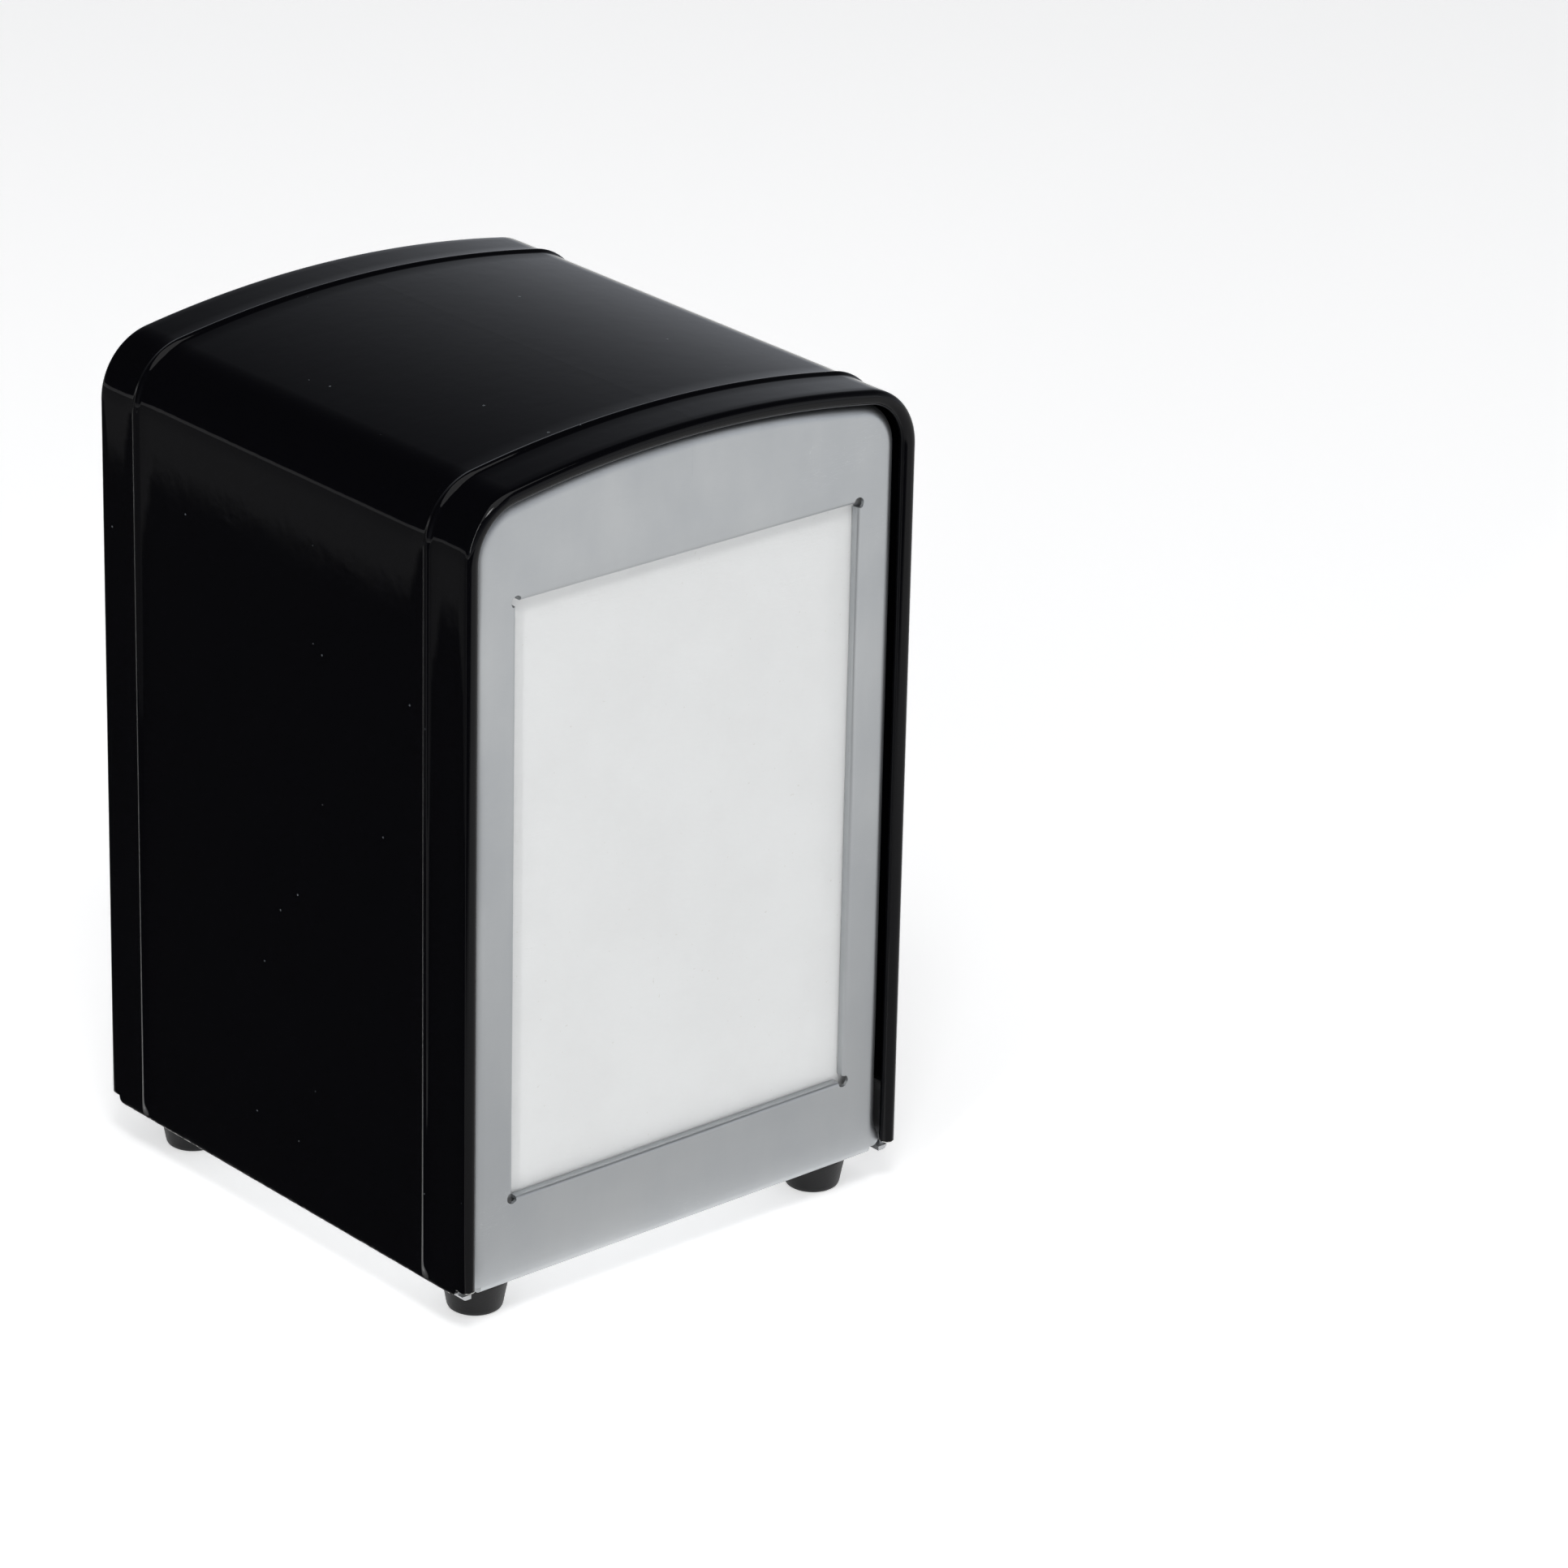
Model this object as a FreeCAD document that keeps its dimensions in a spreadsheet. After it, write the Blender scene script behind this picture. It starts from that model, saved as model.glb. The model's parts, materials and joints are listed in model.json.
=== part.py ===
import FreeCAD, Part
import Sketcher
import math
import os
import re

# Two-sided tabletop napkin dispenser, in millimetres.
# +Z is up from the surface under the feet, the front face looks towards -Y,
# and the origin is the middle of the footprint. Everything is drawn for the
# front half; the rear twin of a piece is the same piece turned half a turn.

Vector = FreeCAD.Vector
ORIGIN = Vector(0, 0, 0)

DIMENSIONS = {
    # skin of the wrapped housing
    "skin_width": 95.0,
    "skin_depth": 100.0,
    "skin_height": 152.0,
    "arch_radius": 219.0,
    "corner_radius": 11.5,
    "shell_gauge": 0.6,
    "wall_bottom": 7.8,
    "wall_end": 47.3,
    "cut_bottom": 4.0,
    "cut_spare": 1.0,
    # rolled edges of the housing
    "rim_radius": 1.3,
    "rim_bore": 0.7,
    "rim_bottom": 9.0,
    "rim_offset": 48.7,
    # pressed stiffening beads
    "bead_offset": 39.3,
    "bead_inset": 0.633,
    "bead_radius": 1.133,
    "bead_groove": 0.533,
    "bead_bottom": 12.0,
    # base tray
    "foot_height": 7.0,
    "tray_gauge": 0.8,
    "tray_half": 46.85,
    "tray_front": 48.2,
    "tray_notch": 44.2,
    "tray_notch_half": 44.9,
    "tray_side_end": 47.2,
    "tray_side_top": 19.0,
    "tray_bend": 1.0,
    # bottom hinge of a face
    "hinge_offset": 46.0,
    "hinge_height": 8.43,
    "hinge_wire": 0.8,
    "hinge_bore": 0.83,
    "hinge_wire_half": 46.8,
    "curl_half": 43.1,
    "curl_sweep": 210.0,
    # faceplate
    "plate_front": 48.2,
    "plate_rear": 44.2,
    "plate_gauge": 0.6,
    "plate_inset": 2.8,
    "plate_inner_inset": 3.4,
    "plate_roll": 2.5,
    "plate_side_bottom": 11.2,
    "window_half": 36.25,
    "window_bottom": 22.9,
    "window_top": 128.8,
    "window_hem": 1.6,
    "window_bend": 0.8,
    "relief_radius": 1.1,
    # raised floor under the napkins
    "floor_top": 11.0,
    "floor_gauge": 0.6,
    "floor_half": 43.9,
    "floor_front": 44.2,
    "floor_lip": 1.9,
    "slot_offset": 28.0,
    "slot_width": 8.2,
    "slot_near": 9.6,
    "slot_far": 42.4,
    # divider between the two magazines
    "divider_gauge": 0.8,
    "divider_inset": 2.2,
    "divider_foot": 7.0,
    "divider_foot_half": 38.0,
    "divider_rivet_pitch": 27.0,
    "divider_rivet_offset": 4.2,
    # pusher
    "pusher_half": 41.0,
    "pusher_front": 13.8,
    "pusher_gauge": 0.8,
    "pusher_flange": 4.0,
    "pusher_bottom": 12.0,
    "pusher_top": 133.0,
    "pusher_corner": 6.0,
    "tab_width": 8.0,
    "tab_bottom": 9.0,
    "seat_radius": 13.3,
    "seat_bore": 4.0,
    "seat_thickness": 1.2,
    # conical spring
    "spring_height": 72.5,
    "spring_small": 14.0,
    "spring_large": 24.0,
    "spring_wire": 0.5,
    "spring_gap": 0.05,
    "spring_flat_turns": 0.6,
    "spring_turns": 4.0,
    # clips that hold the spring's large coil
    "clip_gauge": 0.4,
    "clip_width": 5.0,
    "clip_pad": 3.4,
    "clip_rise": 1.6,
    "clip_reach": 2.4,
    # leaf latch over a face
    "latch_half": 6.0,
    "latch_gauge": 0.4,
    "latch_low": 150.0,
    "latch_high": 150.85,
    "latch_root": 16.0,
    "latch_step": 24.0,
    "latch_nose": 45.0,
    "latch_nose_radius": 0.55,
    # napkins
    "napkin_half": 43.5,
    "napkin_bottom": 11.05,
    "napkin_height": 127.0,
    "napkin_front": 46.4,
    "napkin_rear": 14.0,
    # rubber feet
    "foot_across": 37.3,
    "foot_along": 39.6,
    "foot_bottom_radius": 4.7,
    "foot_top_radius": 5.8,
    "foot_shoulder": 6.1,
    "foot_neck_radius": 4.6,
    "foot_edge": 0.8,
    "foot_recess_radius": 2.9,
    "foot_recess": 3.2,
    "foot_washer_radius": 2.8,
    "foot_washer_gauge": 0.8,
    # rivets
    "rivet_radius": 1.5,
    "rivet_bore": 1.55,
    "rivet_head_radius": 2.6,
    "rivet_head": 1.0,
}
WORD = re.compile(r"\b[a-z_]+\b")
AXES = {
    "X": FreeCAD.Rotation(Vector(0, 1, 0), 90),
    "Y": FreeCAD.Rotation(Vector(1, 0, 0), -90),
    "Z": FreeCAD.Rotation(),
}
HALF_TURN = FreeCAD.Placement(ORIGIN, FreeCAD.Rotation(Vector(0, 0, 1), 180))

doc = FreeCAD.newDocument("napkin_dispenser")
sheet = doc.addObject("Spreadsheet::Sheet", "sheet")
for row, (alias, number) in enumerate(DIMENSIONS.items(), start=1):
    sheet.set(f"A{row}", alias)
    sheet.set(f"B{row}", str(number))
    sheet.setAlias(f"B{row}", alias)
doc.recompute()


# ---------------------------------------------------------------- helpers

def bound(formula):
    """A formula with every dimension word turned into a reference to its cell."""
    return WORD.sub(
        lambda hit: f"sheet.{hit.group()}" if hit.group() in DIMENSIONS else hit.group(),
        formula,
    )


def drive(item, **formulas):
    """Bind the named properties of an object to formulas of sheet cells."""
    for name, formula in formulas.items():
        item.setExpression(name, bound(formula))
    return item


def locate(item, at, rotation=FreeCAD.Rotation()):
    """Turn an object and bind its position to three formulas."""
    item.Placement = FreeCAD.Placement(ORIGIN, rotation)
    for letter, formula in zip("xyz", at):
        item.setExpression(f"Placement.Base.{letter}", bound(formula))
    return item


def box(name, low, high):
    """A block between two opposite corners given as formulas."""
    item = doc.addObject("Part::Box", name)
    spans = [f"({b}) - ({a})" for a, b in zip(low, high)]
    drive(item, Length=spans[0], Width=spans[1], Height=spans[2])
    return locate(item, low)


def rod(name, radius, length, at, axis="Z", sweep="360", turn=FreeCAD.Rotation()):
    """A round bar, or a sector of one, that starts at a point and runs along an axis."""
    item = doc.addObject("Part::Cylinder", name)
    drive(item, Radius=radius, Height=length, Angle=sweep)
    return locate(item, at, turn.multiply(AXES[axis]))


def joined(name, *items):
    """The items fused into one solid."""
    item = doc.addObject("Part::MultiFuse", name)
    item.Shapes = list(items)
    item.Refine = True
    return item


def group(name, items):
    """The items kept as separate solids in one object."""
    item = doc.addObject("Part::Compound", name)
    item.Links = list(items)
    return item


def carved(name, base, *tools):
    """The base with the tools cut away."""
    item = doc.addObject("Part::Cut", name)
    item.Base = base
    item.Tool = tools[0] if len(tools) == 1 else group(f"{name}_tools", tools)
    item.Refine = True
    return item


def rounded(name, base, radius, wanted):
    """The base with a fillet on every edge whose middle and direction are wanted."""
    doc.recompute()
    picked = []
    for index, edge in enumerate(base.Shape.Edges, start=1):
        span = edge.ParameterRange
        middle = edge.valueAt((span[0] + span[1]) / 2)
        if wanted(middle, edge):
            picked.append((index, DIMENSIONS[radius], DIMENSIONS[radius]))
    item = doc.addObject("Part::Fillet", name)
    item.Base = base
    item.Edges = picked
    return item


def near(a, b):
    return abs(a - b) < 1e-4


def runs_along(edge, axis):
    """Whether a straight edge runs along the unit vector given."""
    if not isinstance(edge.Curve, Part.Line):
        return False
    return abs(abs(edge.Curve.Direction.dot(axis)) - 1) < 1e-6


def sketch_on(body, name, role, lift="0"):
    """A sketch on one of the body's own origin planes, lifted along its normal."""
    sketch = body.newObject("Sketcher::SketchObject", name)
    plane = next(item for item in body.Origin.OriginFeatures if item.Role == role)
    sketch.AttachmentSupport = [(plane, "")]
    sketch.MapMode = "FlatFace"
    sketch.setExpression("AttachmentOffset.Base.z", bound(lift))
    return sketch


def dimension(sketch, name, formula, *constraint):
    """Add a dimension to a sketch and bind it to a formula."""
    index = sketch.addConstraint(Sketcher.Constraint(*constraint))
    sketch.renameConstraint(index, name)
    sketch.setExpression(f"Constraints.{name}", bound(formula))


def arch_outline(sketch, inset, bottom, closed=True):
    """Draw the cabinet's cross-section, a given inset inside the skin.

    The right side, right corner, arch, left corner and left side are elements
    0 to 4, and a closed outline adds the bottom edge as element 5.
    """
    deep = DIMENSIONS.get(inset, 0.0)
    low = DIMENSIONS[bottom]
    half = DIMENSIONS["skin_width"] / 2
    arch = DIMENSIONS["arch_radius"]
    corner = DIMENSIONS["corner_radius"]
    arch_z = DIMENSIONS["skin_height"] - arch
    reach = half - corner
    rise = math.sqrt((arch - corner) ** 2 - reach ** 2)
    lean = math.atan2(rise, reach)
    corner_z = arch_z + rise
    normal = Vector(0, 0, 1)
    side = half - deep

    def arc(x, z, radius, start, end):
        return Part.ArcOfCircle(Part.Circle(Vector(x, z, 0), normal, radius), start, end)

    sketch.addGeometry(Part.LineSegment(Vector(side, low, 0), Vector(side, corner_z, 0)))
    sketch.addGeometry(arc(reach, corner_z, corner - deep, 0, lean))
    sketch.addGeometry(arc(0, arch_z, arch - deep, lean, math.pi - lean))
    sketch.addGeometry(arc(-reach, corner_z, corner - deep, math.pi - lean, math.pi))
    sketch.addGeometry(Part.LineSegment(Vector(-side, corner_z, 0), Vector(-side, low, 0)))
    for first in range(4):
        sketch.addConstraint(Sketcher.Constraint("Tangent", first, 2, first + 1, 1))
    sketch.addConstraint(Sketcher.Constraint("Vertical", 0))
    sketch.addConstraint(Sketcher.Constraint("Vertical", 4))
    sketch.addConstraint(Sketcher.Constraint("Equal", 1, 3))
    sketch.addConstraint(Sketcher.Constraint("PointOnObject", 2, 3, -2))
    dimension(sketch, "arch", f"arch_radius - {inset}", "Radius", 2, arch - deep)
    dimension(sketch, "corner", f"corner_radius - {inset}", "Radius", 1, corner - deep)
    dimension(sketch, "arch_drop", "arch_radius - skin_height",
              "DistanceY", 2, 3, -1, 1, -arch_z)
    dimension(sketch, "right", f"skin_width / 2 - {inset}", "DistanceX", -1, 1, 0, 1, side)
    dimension(sketch, "left", f"skin_width / 2 - {inset}", "DistanceX", 4, 2, -1, 1, side)
    dimension(sketch, "foot_right", bottom, "DistanceY", -1, 1, 0, 1, low)
    if closed:
        sketch.addGeometry(Part.LineSegment(Vector(-side, low, 0), Vector(side, low, 0)))
        sketch.addConstraint(Sketcher.Constraint("Coincident", 4, 2, 5, 1))
        sketch.addConstraint(Sketcher.Constraint("Coincident", 5, 2, 0, 1))
        sketch.addConstraint(Sketcher.Constraint("Horizontal", 5))
    else:
        dimension(sketch, "foot_left", bottom, "DistanceY", -1, 1, 4, 2, low)


def slab(name, inset, bottom, start, length, edge=None, radius=None):
    """The arched cross-section grown towards the front from a distance along Y.

    With an edge test and a radius, the front edges that pass it are rounded.
    """
    body = doc.addObject("PartDesign::Body", name)
    sketch = sketch_on(body, f"{name}_outline", "XZ_Plane", start)
    arch_outline(sketch, inset, bottom)
    pad = body.newObject("PartDesign::Pad", f"{name}_pad")
    pad.Profile = sketch
    drive(pad, Length=length)
    if edge is None:
        return body
    doc.recompute()
    picked = []
    for index, line in enumerate(pad.Shape.Edges, start=1):
        span = line.ParameterRange
        if edge(line.valueAt((span[0] + span[1]) / 2)):
            picked.append(f"Edge{index}")
    fillet = body.newObject("PartDesign::Fillet", f"{name}_roll")
    fillet.Base = (pad, picked)
    drive(fillet, Radius=radius)
    return body


def pipe(name, inset, radius, bottom, offset, sign):
    """A round bar bent up one side, over the arch and down the other side."""
    body = doc.addObject("PartDesign::Body", name)
    path = sketch_on(body, f"{name}_path", "XZ_Plane", f"{-sign} * {offset}")
    arch_outline(path, inset, bottom, closed=False)
    section = sketch_on(body, f"{name}_section", "XY_Plane", bottom)
    across = DIMENSIONS["skin_width"] / 2 - DIMENSIONS[inset]
    along = sign * DIMENSIONS[offset]
    circle = Part.Circle(Vector(across, along, 0), Vector(0, 0, 1), DIMENSIONS[radius])
    section.addGeometry(circle)
    dimension(section, "radius", radius, "Radius", 0, DIMENSIONS[radius])
    dimension(section, "across", f"skin_width / 2 - {inset}",
              "DistanceX", -1, 1, 0, 3, across)
    ends = (-1, 1, 0, 3) if sign > 0 else (0, 3, -1, 1)
    dimension(section, "along", offset, "DistanceY", *ends, abs(along))
    doc.recompute()
    sweep = body.newObject("PartDesign::AdditivePipe", f"{name}_sweep")
    sweep.Profile = section
    sweep.Spine = (path, [f"Edge{number}" for number in range(1, 6)])
    return body


NODES = []


def finish(item, label, placement=None):
    """Name a finished piece, place it and list it for export."""
    item.Label = label
    if placement is not None:
        item.Placement = placement
    NODES.append(item)
    return item


# ---------------------------------------------------------------- housing and base

def make_housing():
    """The sheet wrapped over the top and both sides, with beads and rolled ends."""
    ends = (("front", -1), ("rear", 1))
    wrap = slab("wrap_outer", "0", "wall_bottom", "-rim_offset", "2 * rim_offset")
    beads = [pipe(f"{end}_bead", "bead_inset", "bead_radius", "bead_bottom",
                  "bead_offset", sign) for end, sign in ends]
    inside = slab("wrap_inner", "shell_gauge", "cut_bottom",
                  "-skin_depth / 2", "skin_depth")
    band = carved("wrap_band", joined("wrap_beaded", wrap, *beads), inside)
    rolls = [pipe(f"{end}_roll", "rim_radius", "rim_radius", "rim_bottom",
                  "rim_offset", sign) for end, sign in ends]
    bores = [pipe(f"{end}_bore", "rim_radius", "rim_bore", "rim_bottom",
                  "rim_offset", sign) for end, sign in ends]
    grooves = [pipe(f"{end}_groove", "bead_inset", "bead_groove", "bead_bottom",
                    "bead_offset", sign) for end, sign in ends]
    notches = [
        box("front_notch", ("-skin_width", "-skin_depth", "cut_bottom"),
            ("skin_width", "-wall_end", "rim_bottom")),
        box("rear_notch", ("-skin_width", "wall_end", "cut_bottom"),
            ("skin_width", "skin_depth", "rim_bottom")),
    ]
    rolled = joined("wrap_rolled", band, *rolls)
    finish(carved("housing", rolled, *bores, *grooves, *notches), "housing_shell")


def make_base():
    """The folded tray that closes the bottom and carries both hinges."""
    top = "foot_height + tray_gauge"
    sheet_part = box("tray_sheet", ("-tray_half", "-tray_front", "foot_height"),
                     ("tray_half", "tray_front", top))
    sides = [
        box("tray_left", ("-tray_half", "-tray_side_end", "foot_height"),
            ("-tray_half + tray_gauge", "tray_side_end", "tray_side_top")),
        box("tray_right", ("tray_half - tray_gauge", "-tray_side_end", "foot_height"),
            ("tray_half", "tray_side_end", "tray_side_top")),
    ]
    blank = joined("tray_blank", sheet_part, *sides)
    along_y = Vector(0, 1, 0)
    bent = rounded(
        "tray_bent", blank, "tray_bend",
        lambda middle, edge: runs_along(edge, along_y)
        and near(abs(middle.x), DIMENSIONS["tray_half"])
        and near(middle.z, DIMENSIONS["foot_height"]),
    )
    tools = []
    for end, sign in (("front", "-"), ("rear", "")):
        near_edge = f"{sign}tray_notch"
        far_edge = f"{sign}(tray_front + cut_spare)"
        low, high = (far_edge, near_edge) if sign else (near_edge, far_edge)
        tools.append(box(f"tray_{end}_notch", ("-tray_notch_half", low, "cut_bottom"),
                         ("tray_notch_half", high, "floor_top")))
        tools.append(rod(f"tray_{end}_wire_hole", "hinge_bore", "skin_width",
                         ("-skin_width / 2", f"{sign}hinge_offset", "hinge_height"), "X"))
    for corner, across, along in FOOT_CORNERS:
        tools.append(rod(f"tray_hole_{corner}", "rivet_bore", "foot_height",
                         (across, along, "cut_bottom")))
    finish(carved("tray", bent, *tools), "base_plate")


def make_floor():
    """The raised channel the napkins stand on, slotted for the pushers' tabs."""
    under = "foot_height + tray_gauge"
    shelf = box("floor_shelf", ("-floor_half", "-floor_front", "floor_top - floor_gauge"),
                ("floor_half", "floor_front", "floor_top"))
    pieces = [shelf]
    for name, inner, outer, lip in (
        ("left", "-floor_half + floor_gauge", "-floor_half", "-floor_half - floor_lip"),
        ("right", "floor_half - floor_gauge", "floor_half", "floor_half + floor_lip"),
    ):
        low, high = (outer, inner) if name == "left" else (inner, outer)
        pieces.append(box(f"floor_{name}_leg", (low, "-floor_front", under),
                          (high, "floor_front", "floor_top")))
        low, high = (lip, outer) if name == "left" else (outer, lip)
        pieces.append(box(f"floor_{name}_lip", (low, "-floor_front", under),
                          (high, "floor_front", f"{under} + floor_gauge")))
    slots = []
    for name, side in (("left", "-slot_offset"), ("right", "slot_offset")):
        for end, low, high in (("front", "-slot_far", "-slot_near"),
                               ("rear", "slot_near", "slot_far")):
            slots.append(box(
                f"slot_{end}_{name}",
                (f"{side} - slot_width / 2", low, "floor_top - cut_spare"),
                (f"{side} + slot_width / 2", high, "floor_top + cut_spare"),
            ))
    holes = [rod(f"floor_hole_{index}", "rivet_bore", "4 * cut_spare",
                 (f"{index} * divider_rivet_pitch", "divider_rivet_offset",
                  "floor_top - 2 * cut_spare")) for index in (-1, 0, 1)]
    finish(carved("floor", joined("floor_folded", *pieces), *slots, *holes),
           "floor_channel")


def make_divider():
    """The upright sheet between the magazines, with its foot and rivets."""
    wall = slab("divider_wall", "divider_inset", "floor_top",
                "-divider_gauge / 2", "divider_gauge")
    foot = box("divider_foot_fold", ("-divider_foot_half", "divider_gauge / 2", "floor_top"),
               ("divider_foot_half", "divider_gauge / 2 + divider_foot",
                "floor_top + divider_gauge"))
    holes = [rod(f"divider_hole_{index}", "rivet_bore", "4 * cut_spare",
                 (f"{index} * divider_rivet_pitch", "divider_rivet_offset",
                  "floor_top - cut_spare")) for index in (-1, 0, 1)]
    finish(carved("divider", joined("divider_folded", wall, foot), *holes),
           "centre_divider")
    under = "floor_top - floor_gauge"
    over = "floor_top + divider_gauge"
    rivets = []
    for index in (-1, 0, 1):
        spot = (f"{index} * divider_rivet_pitch", "divider_rivet_offset")
        rivets.append(joined(
            f"divider_rivet_{index}",
            rod(f"divider_shank_{index}", "rivet_radius", f"{over} - ({under})",
                (*spot, under)),
            rod(f"divider_head_{index}", "rivet_head_radius", "rivet_head", (*spot, over)),
            rod(f"divider_tail_{index}", "rivet_head_radius", "rivet_head",
                (*spot, f"{under} - rivet_head")),
        ))
    finish(group("divider_rivet_set", rivets), "divider_rivets")


# ---------------------------------------------------------------- feet

FOOT_CORNERS = (
    ("front_left", "-foot_across", "-foot_along"),
    ("front_right", "foot_across", "-foot_along"),
    ("rear_left", "-foot_across", "foot_along"),
    ("rear_right", "foot_across", "foot_along"),
)


def make_feet():
    """Four rubber bumpers, each held by a washer and a rivet through the tray."""
    washers = []
    rivets = []
    for corner, across, along in FOOT_CORNERS:
        spot = (across, along)
        cone = doc.addObject("Part::Cone", f"cone_{corner}")
        drive(cone, Radius1="foot_bottom_radius", Radius2="foot_top_radius",
              Height="foot_shoulder")
        locate(cone, (*spot, "0"))
        soft = rounded(
            f"soft_{corner}", cone, "foot_edge",
            lambda middle, edge: near(middle.z, 0) and isinstance(edge.Curve, Part.Circle),
        )
        neck = rod(f"neck_{corner}", "foot_neck_radius", "foot_height - foot_shoulder",
                   (*spot, "foot_shoulder"))
        recess = rod(f"recess_{corner}", "foot_recess_radius", "foot_recess", (*spot, "0"))
        hole = rod(f"foot_hole_{corner}", "rivet_bore", "foot_height", (*spot, "0"))
        finish(carved(f"bumper_{corner}", joined(f"necked_{corner}", soft, neck),
                      recess, hole), f"foot_{corner}")
        washers.append(carved(
            f"washer_{corner}",
            rod(f"washer_disc_{corner}", "foot_washer_radius", "foot_washer_gauge",
                (*spot, "foot_recess - foot_washer_gauge")),
            rod(f"washer_hole_{corner}", "rivet_bore", "foot_recess",
                (*spot, "foot_recess - foot_washer_gauge - cut_spare")),
        ))
        low = "foot_recess - foot_washer_gauge"
        high = "foot_height + tray_gauge"
        rivets.append(joined(
            f"foot_rivet_{corner}",
            rod(f"foot_shank_{corner}", "rivet_radius", f"{high} - ({low})", (*spot, low)),
            rod(f"foot_head_{corner}", "rivet_head_radius", "rivet_head",
                (*spot, f"{low} - rivet_head")),
            rod(f"foot_tail_{corner}", "rivet_head_radius", "rivet_head", (*spot, high)),
        ))
    finish(group("foot_washer_set", washers), "foot_washers")
    finish(group("foot_rivet_set", rivets), "foot_rivets")


# ---------------------------------------------------------------- one face

def window_bends(end):
    """Four cutters that round the window's front edges over to its hems."""
    low = "window_bottom + relief_radius"
    high = "window_top - relief_radius"
    side = "window_half - relief_radius"
    front = "-plate_front"
    deep = "-plate_front + window_bend"
    cutters = []
    for name, sign in (("left", "-"), ("right", "")):
        edge = f"{sign}window_half"
        centre = f"{sign}(window_half + window_bend)"
        near_x, far_x = (centre, edge) if sign else (edge, centre)
        cutters.append(carved(
            f"{end}_bend_{name}",
            box(f"{end}_bend_{name}_block", (near_x, front, low), (far_x, deep, high)),
            rod(f"{end}_bend_{name}_bar", "window_bend", f"{high} - ({low})",
                (centre, deep, low)),
        ))
    for name, edge, sign in (("low", "window_bottom", "-"), ("high", "window_top", "+")):
        centre = f"{edge} {sign} window_bend"
        near_z, far_z = (centre, edge) if sign == "-" else (edge, centre)
        cutters.append(carved(
            f"{end}_bend_{name}",
            box(f"{end}_bend_{name}_block", (f"-({side})", front, near_z),
                (side, deep, far_z)),
            rod(f"{end}_bend_{name}_bar", "window_bend", f"2 * ({side})",
                (f"-({side})", deep, centre), "X"),
        ))
    return cutters


def make_plate(end, turn):
    """The faceplate: an arched pan with a hemmed window and a curled bottom edge."""
    front = -DIMENSIONS["plate_front"]
    inner = front + DIMENSIONS["plate_gauge"]
    bottom = DIMENSIONS["hinge_height"]

    def on_rim(level):
        return lambda middle: near(middle.y, level) and middle.z > bottom + 1

    outer = slab(f"{end}_pan_outer", "plate_inset", "hinge_height", "plate_rear",
                 "plate_front - plate_rear", on_rim(front), "plate_roll")
    hollow = slab(f"{end}_pan_inner", "plate_inner_inset", "cut_bottom",
                  "plate_rear - cut_spare", "plate_front - plate_rear - plate_gauge + cut_spare",
                  on_rim(inner), "plate_roll - plate_gauge")
    edge = "window_half"
    tools = [
        hollow,
        box(f"{end}_window_cut", (f"-{edge}", "-plate_front - cut_spare", "window_bottom"),
            (edge, "-plate_rear", "window_top")),
        box(f"{end}_side_trim", ("-skin_width / 2", "-plate_front + plate_gauge", "cut_bottom"),
            ("skin_width / 2", "-plate_rear + cut_spare", "plate_side_bottom")),
    ]
    for name, across, level in (
        ("low_left", f"-{edge}", "window_bottom"),
        ("low_right", edge, "window_bottom"),
        ("high_left", f"-{edge}", "window_top"),
        ("high_right", edge, "window_top"),
    ):
        tools.append(rod(f"{end}_relief_{name}", "relief_radius", "plate_front - plate_rear",
                         (across, "-plate_front - cut_spare", level), "Y"))
    pan = carved(f"{end}_pan", outer, *tools)
    deep = "-plate_front + window_hem"
    shallow = "-plate_front + plate_gauge"
    hems = [
        box(f"{end}_hem_left", (f"-{edge} - plate_gauge", shallow, "window_bottom + relief_radius"),
            (f"-{edge}", deep, "window_top - relief_radius")),
        box(f"{end}_hem_right", (edge, shallow, "window_bottom + relief_radius"),
            (f"{edge} + plate_gauge", deep, "window_top - relief_radius")),
        box(f"{end}_hem_low", (f"-{edge} + relief_radius", shallow, "window_bottom - plate_gauge"),
            (f"{edge} - relief_radius", deep, "window_bottom")),
        box(f"{end}_hem_high", (f"-{edge} + relief_radius", shallow, "window_top"),
            (f"{edge} - relief_radius", deep, "window_top + plate_gauge")),
    ]
    hemmed = joined(f"{end}_hemmed", pan, *hems)
    bent = carved(f"{end}_bent", hemmed, *window_bends(end))
    radius = "hinge_height - foot_height"
    bend_y = f"-plate_front + {radius}"
    quarter = FreeCAD.Rotation(Vector(1, 0, 0), -90)
    along = ("-curl_half", "2 * curl_half")
    corner = carved(
        f"{end}_curl_corner",
        rod(f"{end}_corner_out", radius, along[1], (along[0], bend_y, "hinge_height"),
            "X", "90", quarter),
        rod(f"{end}_corner_in", "hinge_bore", along[1], (along[0], bend_y, "hinge_height"),
            "X", "90", quarter),
    )
    flat = box(f"{end}_curl_flat", (along[0], bend_y, "foot_height"),
               ("curl_half", "-hinge_offset", "foot_height + plate_gauge"))
    knuckle = carved(
        f"{end}_knuckle",
        rod(f"{end}_knuckle_out", radius, along[1],
            (along[0], "-hinge_offset", "hinge_height"), "X", "curl_sweep"),
        rod(f"{end}_knuckle_in", "hinge_bore", along[1],
            (along[0], "-hinge_offset", "hinge_height"), "X", "curl_sweep"),
    )
    finish(joined(f"{end}_plate", bent, corner, flat, knuckle), f"{end}_faceplate", turn)
    wire = rod(f"{end}_wire", "hinge_wire", "2 * hinge_wire_half",
               ("-hinge_wire_half", "-hinge_offset", "hinge_height"), "X")
    finish(group(f"{end}_wire_bar", [wire]), f"{end}_hinge_wire", turn)


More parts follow.
